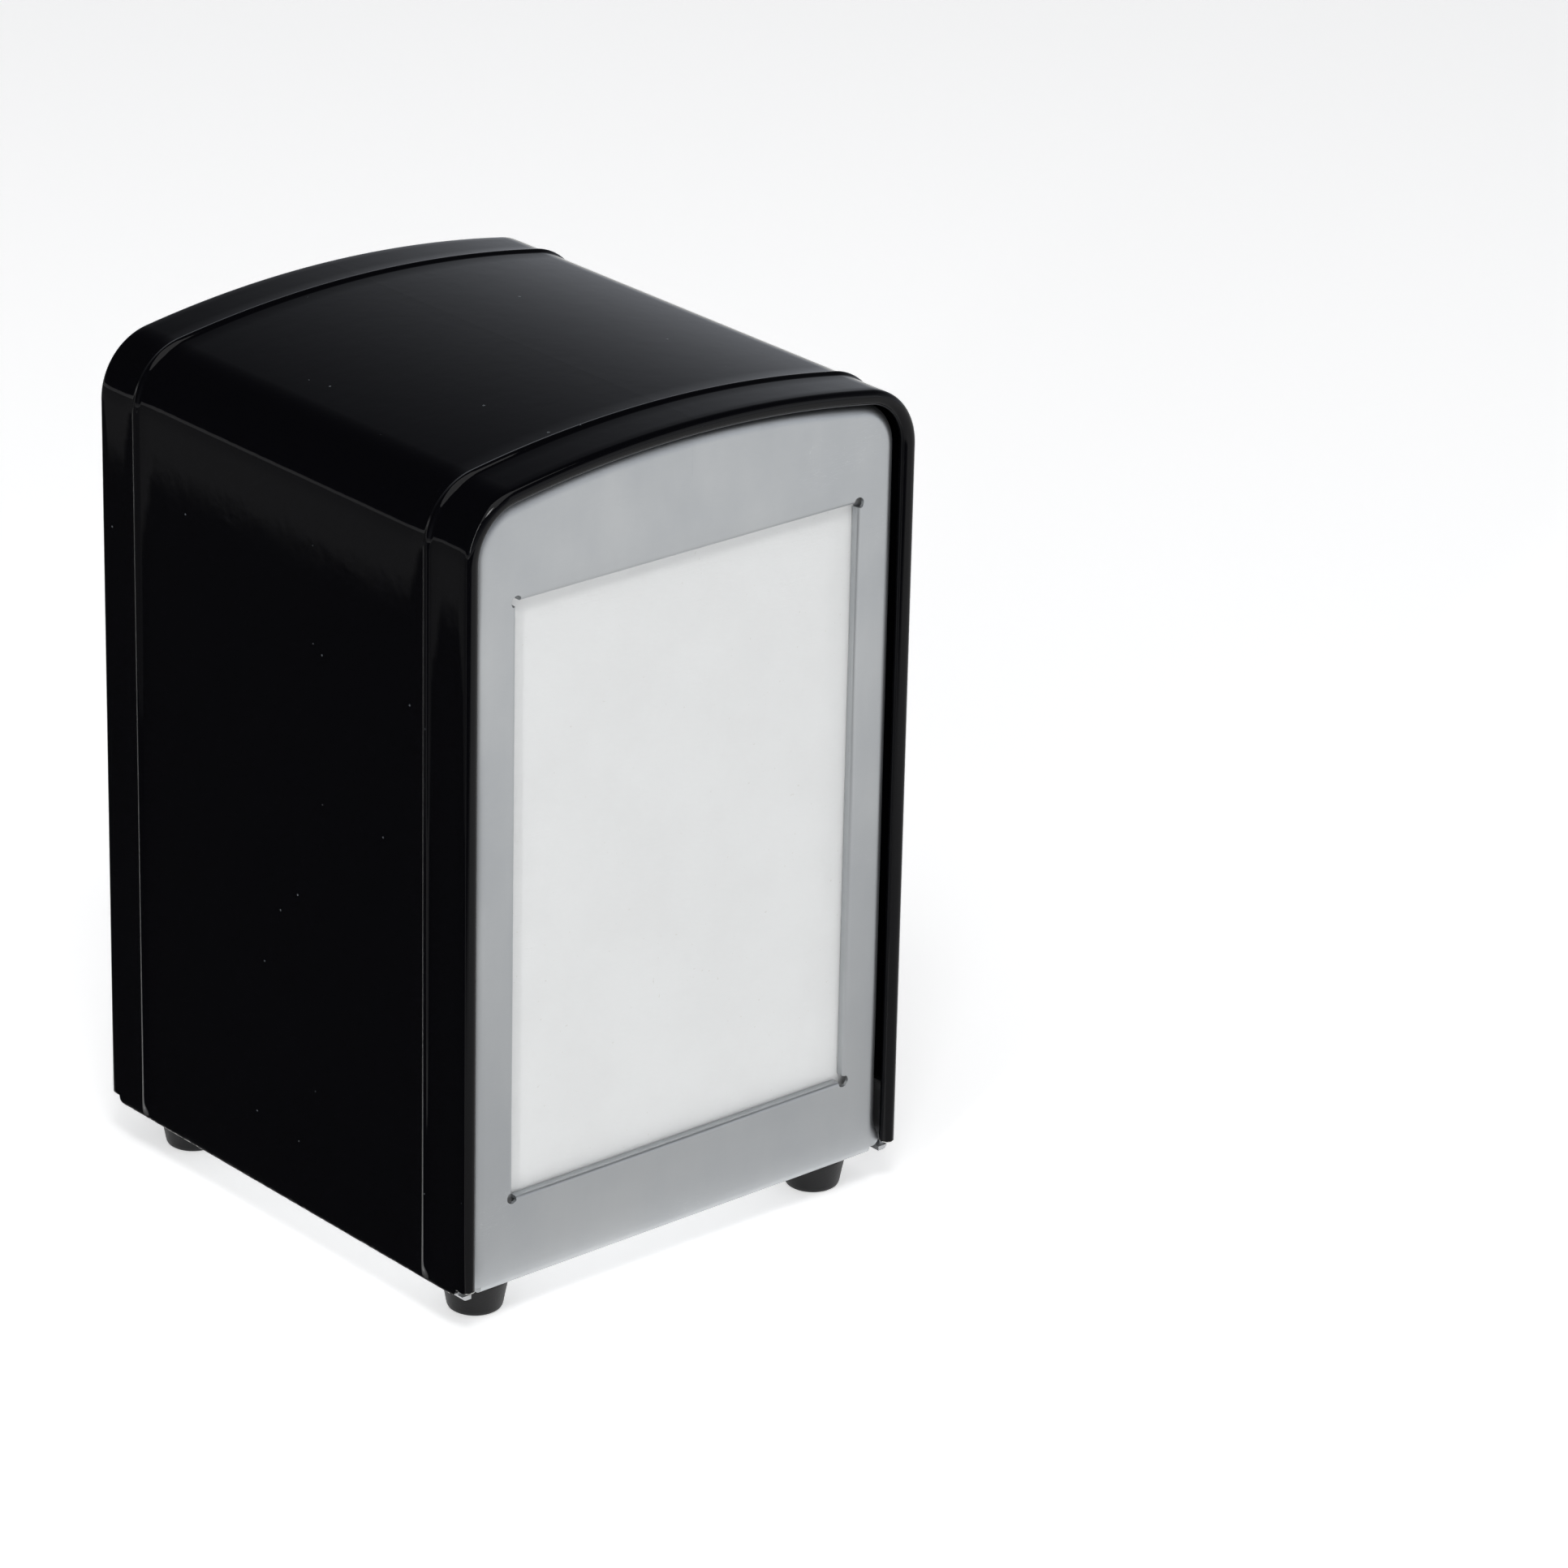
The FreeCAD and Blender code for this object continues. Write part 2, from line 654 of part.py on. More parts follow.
def make_latch(end, turn):
    """The leaf spring welded under the roof, whose round nose holds the face shut."""
    pieces = [
        box(f"{end}_latch_pad", ("-latch_half", "-latch_step", "latch_high"),
            ("latch_half", "-latch_root", "latch_high + latch_gauge")),
        box(f"{end}_latch_riser", ("-latch_half", "-latch_step - latch_gauge", "latch_low"),
            ("latch_half", "-latch_step", "latch_high + latch_gauge")),
        box(f"{end}_latch_arm", ("-latch_half", "-latch_nose", "latch_low"),
            ("latch_half", "-latch_step", "latch_low + latch_gauge")),
        rod(f"{end}_latch_roll", "latch_nose_radius", "2 * latch_half",
            ("-latch_half", "-latch_nose", "latch_low + latch_gauge - latch_nose_radius"),
            "X"),
    ]
    finish(joined(f"{end}_latch", *pieces), f"{end}_latch_clip", turn)


def make_pusher(end, turn):
    """The flanged plate that presses the napkins forward, and its spring seat."""
    front = "-pusher_front"
    back = "-pusher_front + pusher_flange"
    inner = "-pusher_front + pusher_gauge"
    block = box(f"{end}_pusher_block", ("-pusher_half", front, "pusher_bottom"),
                ("pusher_half", back, "pusher_top"))
    hollow = box(f"{end}_pusher_hollow",
                 ("-pusher_half + pusher_gauge", inner, "pusher_bottom + pusher_gauge"),
                 ("pusher_half - pusher_gauge", f"{back} + cut_spare",
                  "pusher_top - pusher_gauge"))
    along_y = Vector(0, 1, 0)
    corners = rounded(f"{end}_pusher_corners", block, "pusher_corner",
                      lambda middle, edge: runs_along(edge, along_y))
    inside = rounded(f"{end}_pusher_inside", hollow, "pusher_corner",
                     lambda middle, edge: runs_along(edge, along_y))
    pan = carved(f"{end}_pusher_pan", corners, inside)
    tabs = [
        box(f"{end}_tab_{name}", (f"{side} - tab_width / 2", front, "tab_bottom"),
            (f"{side} + tab_width / 2", inner, "pusher_bottom + pusher_gauge"))
        for name, side in (("left", "-slot_offset"), ("right", "slot_offset"))
    ]
    finish(joined(f"{end}_pusher", pan, *tabs), f"{end}_pusher_plate", turn)
    centre = ("0", inner, "spring_height")
    finish(carved(f"{end}_seat", rod(f"{end}_seat_disc", "seat_radius", "seat_thickness",
                                     centre, "Y"),
                  rod(f"{end}_seat_hole", "seat_bore", "2 * seat_thickness", centre, "Y")),
           f"{end}_spring_seat", turn)


def make_spring(end, turn):
    """A conical wire spring with flattened end coils, small end on the pusher."""
    size = {name: getattr(sheet, name) for name in DIMENSIONS}
    wire = size["spring_wire"]
    low = -size["pusher_front"] + size["pusher_gauge"] + wire + size["spring_gap"]
    high = -size["divider_gauge"] / 2 - wire - size["spring_gap"]
    flat = size["spring_flat_turns"]
    turns = size["spring_turns"]
    total = turns + 2 * flat
    steps_per_turn = 16
    points = []
    for step in range(int(total * steps_per_turn) + 1):
        spot = step / steps_per_turn
        share = min(max((spot - flat) / turns, 0.0), 1.0)
        radius = size["spring_small"] + share * (size["spring_large"] - size["spring_small"])
        angle = 2 * math.pi * spot
        points.append(Vector(radius * math.cos(angle), low + share * (high - low),
                             size["spring_height"] + radius * math.sin(angle)))
    curve = Part.BSplineCurve()
    curve.interpolate(points)
    start = curve.tangent(curve.FirstParameter)[0]
    section = Part.Wire([Part.Circle(points[0], start, wire).toShape()])
    coil = Part.Wire([curve.toShape()]).makePipeShell([section], True, True)
    item = doc.addObject("Part::Feature", f"{end}_coil")
    item.Shape = coil
    finish(item, f"{end}_pusher_spring", turn)


def make_clips(end, turn):
    """Three small straps welded to the divider over the spring's large coil."""
    face = "-divider_gauge / 2"
    edge = "spring_large + spring_wire"
    clips = []
    for index in range(3):
        name = f"{end}_clip_{index}"
        low = f"{face} - clip_rise"
        tilt = FreeCAD.Rotation(Vector(0, 1, 0), 132 - 66 * index)
        strap = joined(
            name,
            box(f"{name}_pad", (f"{edge} + clip_gauge", f"{face} - clip_gauge", "-clip_width / 2"),
                (f"{edge} + clip_gauge + clip_pad", face, "clip_width / 2")),
            box(f"{name}_riser", (f"{edge} + clip_gauge / 2", low, "-clip_width / 2"),
                (f"{edge} + 3 * clip_gauge / 2", face, "clip_width / 2")),
            box(f"{name}_lip", (f"{edge} - clip_reach", low, "-clip_width / 2"),
                (f"{edge} + 3 * clip_gauge / 2", f"{low} + clip_gauge", "clip_width / 2")),
        )
        locate(strap, ("0", "0", "spring_height"), tilt)
        clips.append(strap)
    finish(group(f"{end}_clip_set", clips), f"{end}_spring_clips", turn)


def make_napkins(end, turn):
    """One magazine's folded napkins, drawn as a single soft block."""
    block = box(f"{end}_napkin_block", ("-napkin_half", "-napkin_front", "napkin_bottom"),
                ("napkin_half", "-napkin_rear", "napkin_bottom + napkin_height"))
    finish(group(f"{end}_napkins", [block]), f"{end}_napkin_stack", turn)


# ---------------------------------------------------------------- assembly and export

def check(item):
    """Stop if a piece did not compute or is not a sound solid."""
    shape = item.Shape
    if shape.isNull() or not shape.isValid() or not shape.Solids:
        raise RuntimeError(f"{item.Label} has no sound solid")


make_housing()
make_base()
make_floor()
make_divider()
make_feet()
for end, turn in (("front", FreeCAD.Placement()), ("rear", HALF_TURN)):
    make_plate(end, turn)
    make_latch(end, turn)
    make_pusher(end, turn)
    make_spring(end, turn)
    make_clips(end, turn)
    make_napkins(end, turn)
doc.recompute()

for item in doc.Objects:
    if {"Invalid", "Error"} & set(item.State):
        raise RuntimeError(f"{item.Name} did not recompute: {item.State}")
os.makedirs("parts", exist_ok=True)
for node in NODES:
    check(node)
    node.Shape.exportStep(f"parts/{node.Label}.step")
    print(node.Label, round(node.Shape.Volume, 2), len(node.Shape.Solids), node.Shape.BoundBox)
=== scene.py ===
"""Two-sided tabletop napkin dispenser: the visible pieces, built on the engineering frame.

Sizes are written in millimetres, as a maker would call them out, and each mesh is
scaled to metres when it is finished. Everything is drawn for the front half; the rear
twin of a piece is the same piece turned half a turn about Z.
"""
import json
import logging
import math
import random
from dataclasses import dataclass
from enum import Enum
from typing import Callable, Iterable, Sequence

import bmesh
import bpy
from mathutils import Matrix, Vector, noise
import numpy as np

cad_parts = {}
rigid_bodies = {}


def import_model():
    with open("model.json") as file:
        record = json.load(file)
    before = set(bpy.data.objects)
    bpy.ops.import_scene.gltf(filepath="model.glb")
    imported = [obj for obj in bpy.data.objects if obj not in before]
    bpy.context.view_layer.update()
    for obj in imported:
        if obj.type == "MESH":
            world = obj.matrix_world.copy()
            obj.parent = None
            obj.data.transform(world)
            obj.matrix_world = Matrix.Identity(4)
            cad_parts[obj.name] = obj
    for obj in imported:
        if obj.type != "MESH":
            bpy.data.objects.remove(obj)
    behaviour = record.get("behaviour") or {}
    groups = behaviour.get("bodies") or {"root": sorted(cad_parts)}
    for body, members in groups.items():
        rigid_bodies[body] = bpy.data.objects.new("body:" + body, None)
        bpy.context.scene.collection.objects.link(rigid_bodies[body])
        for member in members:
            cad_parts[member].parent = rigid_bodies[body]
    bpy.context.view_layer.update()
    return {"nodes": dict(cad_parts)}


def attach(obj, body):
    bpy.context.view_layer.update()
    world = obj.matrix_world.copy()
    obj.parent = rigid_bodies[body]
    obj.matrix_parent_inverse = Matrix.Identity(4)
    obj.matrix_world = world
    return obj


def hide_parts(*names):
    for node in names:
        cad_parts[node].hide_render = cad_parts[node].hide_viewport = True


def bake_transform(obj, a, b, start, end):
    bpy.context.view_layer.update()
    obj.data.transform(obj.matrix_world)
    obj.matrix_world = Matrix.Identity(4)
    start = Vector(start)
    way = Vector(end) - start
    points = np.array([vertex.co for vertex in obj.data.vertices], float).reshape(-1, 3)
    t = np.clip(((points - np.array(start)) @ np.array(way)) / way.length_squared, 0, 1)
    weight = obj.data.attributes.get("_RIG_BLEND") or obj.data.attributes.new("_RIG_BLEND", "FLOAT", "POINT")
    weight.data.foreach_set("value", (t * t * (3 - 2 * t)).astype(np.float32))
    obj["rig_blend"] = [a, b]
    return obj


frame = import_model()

MM = 0.001
NEAR = 0.001  # millimetres within which two places are the same
AXIS_X, AXIS_Y, AXIS_Z = Vector((1, 0, 0)), Vector((0, 1, 0)), Vector((0, 0, 1))
Colour = tuple[float, float, float]
Edge, Vert = bmesh.types.BMEdge, bmesh.types.BMVert
Node, Socket, Tree = bpy.types.Node, bpy.types.NodeSocket, bpy.types.NodeTree
Material, Item = bpy.types.Material, bpy.types.Object
log = logging.getLogger("napkin_dispenser")


class End(Enum):
    """The two identical ends of the dispenser."""

    FRONT = "front"
    REAR = "rear"

    @property
    def sign(self) -> int:
        """Return 1 at the front, and -1 at the rear, where a piece is turned half round."""
        return 1 if self is End.FRONT else -1


def smooth_step(value: float, low: float, high: float) -> float:
    """Rise smoothly from 0 at low to 1 at high.

    Args:
        value: Where to read the curve.
        low: Where the rise starts.
        high: Where the rise ends.

    Returns:
        A share between 0 and 1.
    """
    share = min(max((value - low) / (high - low), 0.0), 1.0)
    return share * share * (3 - 2 * share)


def hump(distance: float, spread: float) -> float:
    """Return the height of a soft round hump of unit height at a distance."""
    return math.exp(-(distance / spread) ** 2)


def edges_in(geom: Iterable) -> list[Edge]:
    """Return the edges among an operator's results."""
    return [item for item in geom if isinstance(item, Edge)]


def verts_in(geom: Iterable) -> list[Vert]:
    """Return the vertices among an operator's results."""
    return [item for item in geom if isinstance(item, Vert)]


# ------------------------------------------------------------------ mesh work


class Blank:
    """A bmesh in millimetres, with the operations this object is made with."""

    def __init__(self) -> None:
        """Start with an empty mesh."""
        self.bm = bmesh.new()

    def chain(self, points: Iterable[Sequence[float]]) -> list[Edge]:
        """Lay a line of vertices joined by edges.

        Args:
            points: The places of the vertices, in order.

        Returns:
            The edges of the line.
        """
        verts = [self.bm.verts.new(point) for point in points]
        return [self.bm.edges.new(pair) for pair in zip(verts, verts[1:])]

    def spin(self, geom: list, centre: Sequence[float], axis: Vector, degrees: float,
             steps: int) -> list:
        """Sweep vertices or edges about an axis.

        Args:
            geom: The vertices or edges to sweep.
            centre: A point on the axis.
            axis: The direction of the axis.
            degrees: The sweep, positive by the right-hand rule.
            steps: The number of segments.

        Returns:
            The swept copies at the far end.
        """
        result = bmesh.ops.spin(self.bm, geom=geom, cent=centre, axis=axis,
                                dvec=(0, 0, 0), angle=math.radians(degrees), steps=steps,
                                use_merge=False, use_normal_flip=False,
                                use_duplicate=False)
        return result["geom_last"]

    def pull(self, edges: list, shift: Sequence[float]) -> list[Edge]:
        """Extrude edges into faces by a shift.

        Args:
            edges: The edges to extrude.
            shift: How far the new edges are moved.

        Returns:
            The new outer edges.
        """
        result = bmesh.ops.extrude_edge_only(self.bm, edges=edges)["geom"]
        bmesh.ops.translate(self.bm, verts=verts_in(result), vec=shift)
        return edges_in(result)

    def mirror(self) -> None:
        """Copy the left half to the right and close the seam at X = 0."""
        bmesh.ops.mirror(self.bm, geom=self.bm.verts[:] + self.bm.edges[:] + self.bm.faces[:],
                         matrix=Matrix.Identity(4), merge_dist=0.002, axis="X")

    def merge(self, distance: float = 0.004) -> None:
        """Merge vertices that coincide and drop faces without area."""
        bmesh.ops.remove_doubles(self.bm, verts=self.bm.verts[:], dist=distance)
        bmesh.ops.dissolve_degenerate(self.bm, edges=self.bm.edges[:], dist=distance)

    def face_out(self, towards: Vector) -> None:
        """Turn an open sheet so that its farthest face looks outwards.

        Args:
            towards: The direction in which the outermost face is looked for.
        """
        bmesh.ops.recalc_face_normals(self.bm, faces=self.bm.faces[:])
        outermost = max(self.bm.faces, key=lambda face: face.calc_center_median().dot(towards))
        if outermost.normal.dot(towards) < 0:
            bmesh.ops.reverse_faces(self.bm, faces=self.bm.faces[:])

    def thicken(self, gauge: float) -> None:
        """Give an outward-facing sheet its gauge on the inner side."""
        mesh = bpy.data.meshes.new("sheet")
        self.bm.to_mesh(mesh)
        holder = bpy.data.objects.new("sheet", mesh)
        bpy.context.scene.collection.objects.link(holder)
        solidify = holder.modifiers.new("gauge", "SOLIDIFY")
        solidify.thickness, solidify.offset = gauge, -1.0
        solidify.use_even_offset = False
        bpy.context.view_layer.update()
        solid = bpy.data.meshes.new_from_object(
            holder.evaluated_get(bpy.context.evaluated_depsgraph_get()))
        self.bm.clear()
        self.bm.from_mesh(solid)
        for data in (holder, mesh, solid):
            (bpy.data.objects if data is holder else bpy.data.meshes).remove(data)

    def move(self, rule: Callable[[Vector], Vector]) -> None:
        """Move every vertex by a rule that maps its old place to its new one."""
        for vert in self.bm.verts:
            vert.co = rule(vert.co)

    def piece(self, name: str, end: End | None = None, crease: float = 35.0) -> Item:
        """Finish the blank as an object in metres, smooth but for its sharp edges.

        Args:
            name: The piece's name.
            end: REAR turns the piece half a turn.
            crease: The angle in degrees above which an edge stays sharp.

        Returns:
            The new object, at the origin with its place in its mesh.
        """
        if end is End.REAR:
            bmesh.ops.rotate(self.bm, verts=self.bm.verts[:], cent=(0, 0, 0),
                             matrix=Matrix.Rotation(math.pi, 3, "Z"))
        bmesh.ops.scale(self.bm, verts=self.bm.verts[:], vec=(MM, MM, MM))
        limit = math.radians(crease)
        for face in self.bm.faces:
            face.smooth = True
        for edge in self.bm.edges:
            edge.smooth = len(edge.link_faces) == 2 and edge.calc_face_angle(0) < limit
        mesh = bpy.data.meshes.new(name)
        self.bm.to_mesh(mesh)
        self.bm.free()
        item = bpy.data.objects.new(name, mesh)
        bpy.context.scene.collection.objects.link(item)
        return item


def hang(item: Item, body: str, slot: str, finishes: "Finishes", *nodes: str) -> Item:
    """Dress a finished piece and hand it to the frame.

    Args:
        item: The piece.
        body: The body that it moves with, or an empty string if it is blended later.
        slot: The record's material slot, which is also the finish's name.
        finishes: Every finish.
        nodes: The engineering nodes that it stands for.

    Returns:
        The same piece.
    """
    item.data.materials.clear()
    item.data.materials.append(finishes[slot])
    if body:
        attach(item, body)
    if nodes:
        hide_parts(*nodes)
    log.info("%s: %d faces", item.name, len(item.data.polygons))
    return item


# ------------------------------------------------------------------ materials


class Net:
    """A node tree being wired."""

    def __init__(self, tree: Tree) -> None:
        """Take an existing tree, emptied of its nodes."""
        self.tree = tree
        tree.nodes.clear()

    def add(self, kind: str, values: dict | None = None, **settings: object) -> Node:
        """Add a node and set or link its inputs.

        Args:
            kind: The node's type name, without the leading "ShaderNode".
            values: Input values or output sockets, by input name or number.
            settings: Properties of the node itself.

        Returns:
            The new node.
        """
        node = self.tree.nodes.new(f"ShaderNode{kind}")
        for name, value in settings.items():
            setattr(node, name, value)
        for key, value in (values or {}).items():
            if isinstance(value, Socket):
                self.tree.links.new(value, node.inputs[key])
            else:
                node.inputs[key].default_value = value
        return node

    def math(self, operation: str, first: object, second: object = 0.0,
             clamp: bool = False) -> Socket:
        """Return the output of a Math node on two values or sockets."""
        return self.add("Math", {0: first, 1: second}, operation=operation,
                        use_clamp=clamp).outputs[0]

    def weighted(self, *terms: tuple[object, float]) -> Socket:
        """Return the sum of some values, each times its own weight."""
        total = None
        for value, weight in terms:
            part = self.math("MULTIPLY", value, weight)
            total = part if total is None else self.math("ADD", total, part)
        return total

    def remap(self, value: object, low: float, high: float, start: float = 0.0,
              end: float = 1.0) -> Socket:
        """Return a value moved smoothly from one range to another."""
        return self.add("MapRange", {"Value": value, "From Min": low, "From Max": high,
                                     "To Min": start, "To Max": end},
                        interpolation_type="SMOOTHSTEP").outputs["Result"]

    def mix(self, share: object, first: object, second: object) -> Socket:
        """Return the output of a colour Mix node."""
        node = self.add("Mix", {"Factor": share}, data_type="RGBA")
        for socket, value in ((node.inputs[6], first), (node.inputs[7], second)):
            if isinstance(value, Socket):
                self.tree.links.new(value, socket)
            else:
                socket.default_value = (*value, 1.0)
        return node.outputs[2]

    def noise(self, vector: object, scale: float, detail: float = 2.0,
              roughness: float = 0.5) -> Socket:
        """Return the value of a Noise texture."""
        return self.add("TexNoise", {"Vector": vector, "Scale": scale, "Detail": detail,
                                     "Roughness": roughness}).outputs["Fac"]

    def place(self) -> Socket:
        """Return the piece's own coordinates, in metres."""
        return self.add("TexCoord").outputs["Object"]

    def stretched(self, vector: object, scale: Sequence[float],
                  turn: Sequence[float] = (0, 0, 0)) -> Socket:
        """Return coordinates turned and stretched by a Mapping node."""
        return self.add("Mapping", {"Vector": vector, "Scale": scale,
                                    "Rotation": turn}).outputs["Vector"]

    def bump(self, height: object, strength: float, distance: float,
             normal: object = None) -> Socket:
        """Return the normal of a Bump node, on top of another bump if given."""
        values = {"Height": height, "Strength": strength, "Distance": distance}
        if normal is not None:
            values["Normal"] = normal
        return self.add("Bump", values).outputs["Normal"]


def effect(name: str, inputs: dict[str, float], outputs: Sequence[str],
           wire: Callable[[Net, Node], dict[str, object]]) -> Tree:
    """Build a shared effect as a node group.

    Args:
        name: The group's name.
        inputs: The number inputs and their usual values; a Vector input is added.
        outputs: The names of the mask outputs.
        wire: Builds the inside and returns a socket for each output.

    Returns:
        The group.
    """
    tree = bpy.data.node_groups.new(name, "ShaderNodeTree")
    tree.interface.new_socket("Vector", in_out="INPUT", socket_type="NodeSocketVector")
    for label, value in inputs.items():
        socket = tree.interface.new_socket(label, in_out="INPUT", socket_type="NodeSocketFloat")
        socket.default_value = value
    for label in outputs:
        tree.interface.new_socket(label, in_out="OUTPUT", socket_type="NodeSocketFloat")
    net = Net(tree)
    entry = tree.nodes.new("NodeGroupInput")
    leave = tree.nodes.new("NodeGroupOutput")
    for label, socket in wire(net, entry).items():
        tree.links.new(socket, leave.inputs[label])
    return tree


def wire_dust(net: Net, entry: Node) -> dict[str, object]:
    """Wire sparse round dust specks of uneven size."""
    cells = net.add("TexVoronoi", {"Vector": entry.outputs["Vector"],
                                   "Scale": entry.outputs["Scale"], "Randomness": 1.0})
    pick = net.add("SeparateColor", {"Color": cells.outputs["Color"]})
    size = net.math("MULTIPLY", pick.outputs["Red"], entry.outputs["Size"])
    inside = net.math("LESS_THAN", cells.outputs["Distance"], size)
    rare = net.math("LESS_THAN", pick.outputs["Green"], entry.outputs["Share"])
    return {"Mask": net.math("MULTIPLY", inside, rare)}


def wire_handling(net: Net, entry: Node) -> dict[str, object]:
    """Wire the broad, soft variation that handling and wiping leave on a surface."""
    broad = net.noise(entry.outputs["Vector"], 38.0, 3.0, 0.55)
    wiped = net.noise(net.stretched(entry.outputs["Vector"], (1.0, 1.0, 0.35), (0.3, 0.5, 0.2)),
                      95.0, 4.0, 0.6)
    both = net.weighted((broad, 0.6), (wiped, 0.4))
    return {"Mask": net.remap(net.math("MULTIPLY", both, entry.outputs["Contrast"]), 0.3, 0.7)}


def wire_grain(net: Net, entry: Node) -> dict[str, object]:
    """Wire the fine rolled grain of sheet steel, with longer stray scratches."""
    vector = entry.outputs["Vector"]
    along = net.add("CombineXYZ", {"X": entry.outputs["Along X"], "Y": entry.outputs["Along Y"],
                                   "Z": entry.outputs["Along Z"]}).outputs["Vector"]
    drawn = net.add("VectorMath", {0: vector, 1: along}, operation="MULTIPLY").outputs["Vector"]
    fine = net.noise(drawn, 1.0, 3.0, 0.65)
    speck = net.noise(vector, 5200.0, 1.0)
    grain = net.weighted((fine, 0.7), (speck, 0.3))
    tilted = net.stretched(vector, (260.0, 260.0, 2600.0), (0.4, 0.9, 0.3))
    line = net.add("TexVoronoi", {"Vector": tilted, "Scale": 1.0}, feature="DISTANCE_TO_EDGE")
    thin = net.math("LESS_THAN", line.outputs["Distance"], 0.012)
    some = net.remap(net.noise(vector, 70.0), 0.6, 0.72)
    return {"Grain": grain, "Scratch": net.math("MULTIPLY", thin, some)}


@dataclass(frozen=True)
class Effects:
    """The node groups that several finishes share."""

    dust: Tree
    handling: Tree
    grain: Tree

    @staticmethod
    def build() -> "Effects":
        """Build each group once."""
        return Effects(
            dust=effect("dust_specks", {"Scale": 500.0, "Size": 0.2, "Share": 0.06},
                        ("Mask",), wire_dust),
            handling=effect("handling", {"Contrast": 1.0}, ("Mask",), wire_handling),
            grain=effect("sheet_grain",
                         {"Along X": 900.0, "Along Y": 900.0, "Along Z": 900.0},
                         ("Grain", "Scratch"), wire_grain),
        )


def use(net: Net, tree: Tree, vector: object, **values: float) -> Node:
    """Place a shared effect in a material with its own values.

    Args:
        net: The material's tree.
        tree: The effect.
        vector: The coordinates that it reads.
        values: Its number inputs, with underscores for spaces.

    Returns:
        The group node.
    """
    node = net.tree.nodes.new("ShaderNodeGroup")
    node.node_tree = tree
    net.tree.links.new(vector, node.inputs["Vector"])
    for label, value in values.items():
        node.inputs[label.replace("_", " ")].default_value = value
    return node


def new_material(name: str) -> tuple[Material, Net, Node]:
    """Start a material with an empty tree, a Principled shader and an output.

    Args:
        name: The finish's name.

    Returns:
        The material, its net and the shader.
    """
    material = bpy.data.materials.new(name)
    material.use_nodes = True
    net = Net(material.node_tree)
    shader = net.add("BsdfPrincipled")
    net.add("OutputMaterial", {"Surface": shader.outputs["BSDF"]})
    return material, net, shader


def feed(net: Net, shader: Node, **sockets: object) -> None:
    """Link sockets to the shader's inputs, with underscores for spaces."""
    for label, socket in sockets.items():
        net.tree.links.new(socket, shader.inputs[label.replace("_", " ")])


@dataclass(frozen=True)
class Enamel:
    """Baked gloss enamel on steel, with bare metal where the sheet was cut."""

    effects: Effects
    colour: Colour = (0.0018, 0.0018, 0.0025)
    dust_colour: Colour = (0.10, 0.11, 0.12)
    bare_colour: Colour = (0.62, 0.62, 0.60)
    cut_height: float = 9.12
    rim_from: float = 47.4
    wall_cut: float = 7.86
    cut_waver: float = 0.5
    polish: float = 0.035
    handled: float = 0.025
    bare_roughness: float = 0.18
    peel_depth: float = 0.000012
    speck_depth: float = 0.00003
    refraction: float = 1.27

    def cut_edge(self, net: Net, place: Socket) -> Socket:
        """Return the mask of bare metal along the sheet's cut edges."""
        axes = net.add("SeparateXYZ", {"Vector": place})
        uneven = net.math("MULTIPLY", net.math("SUBTRACT", net.noise(place, 1400.0, 3.0), 0.5),
                          self.cut_waver * MM)
        height = net.math("ADD", axes.outputs["Z"], uneven)
        at_rim = net.math("GREATER_THAN", net.math("ABSOLUTE", axes.outputs["Y"]),
                          self.rim_from * MM)
        rim_cut = net.math("MULTIPLY", net.math("LESS_THAN", height, self.cut_height * MM), at_rim)
        return net.math("MAXIMUM", rim_cut, net.math("LESS_THAN", height, self.wall_cut * MM))

    def build(self) -> Material:
        """Build the finish."""
        material, net, shader = new_material("black_enamel")
        place = net.place()
        bare = self.cut_edge(net, place)
        specks = use(net, self.effects.dust, place, Scale=430.0, Size=0.13, Share=0.06)
        dull = use(net, self.effects.handling, place, Contrast=1.0)
        base = net.mix(specks.outputs["Mask"], self.colour, self.dust_colour)
        feed(net, shader,
             Base_Color=net.mix(bare, base, self.bare_colour),
             Metallic=bare,
             Roughness=net.math("ADD", net.weighted((dull.outputs["Mask"], self.handled),
                                                    (bare, self.bare_roughness)), self.polish))
        peel = net.weighted((net.noise(place, 240.0, 1.0), 1.0),
                            (net.noise(place, 620.0, 1.0), 0.35))
        soft = net.bump(peel, 1.0, self.peel_depth)
        feed(net, shader, Normal=net.bump(specks.outputs["Mask"], 1.0, self.speck_depth, soft))
        shader.inputs["IOR"].default_value = self.refraction
        return material


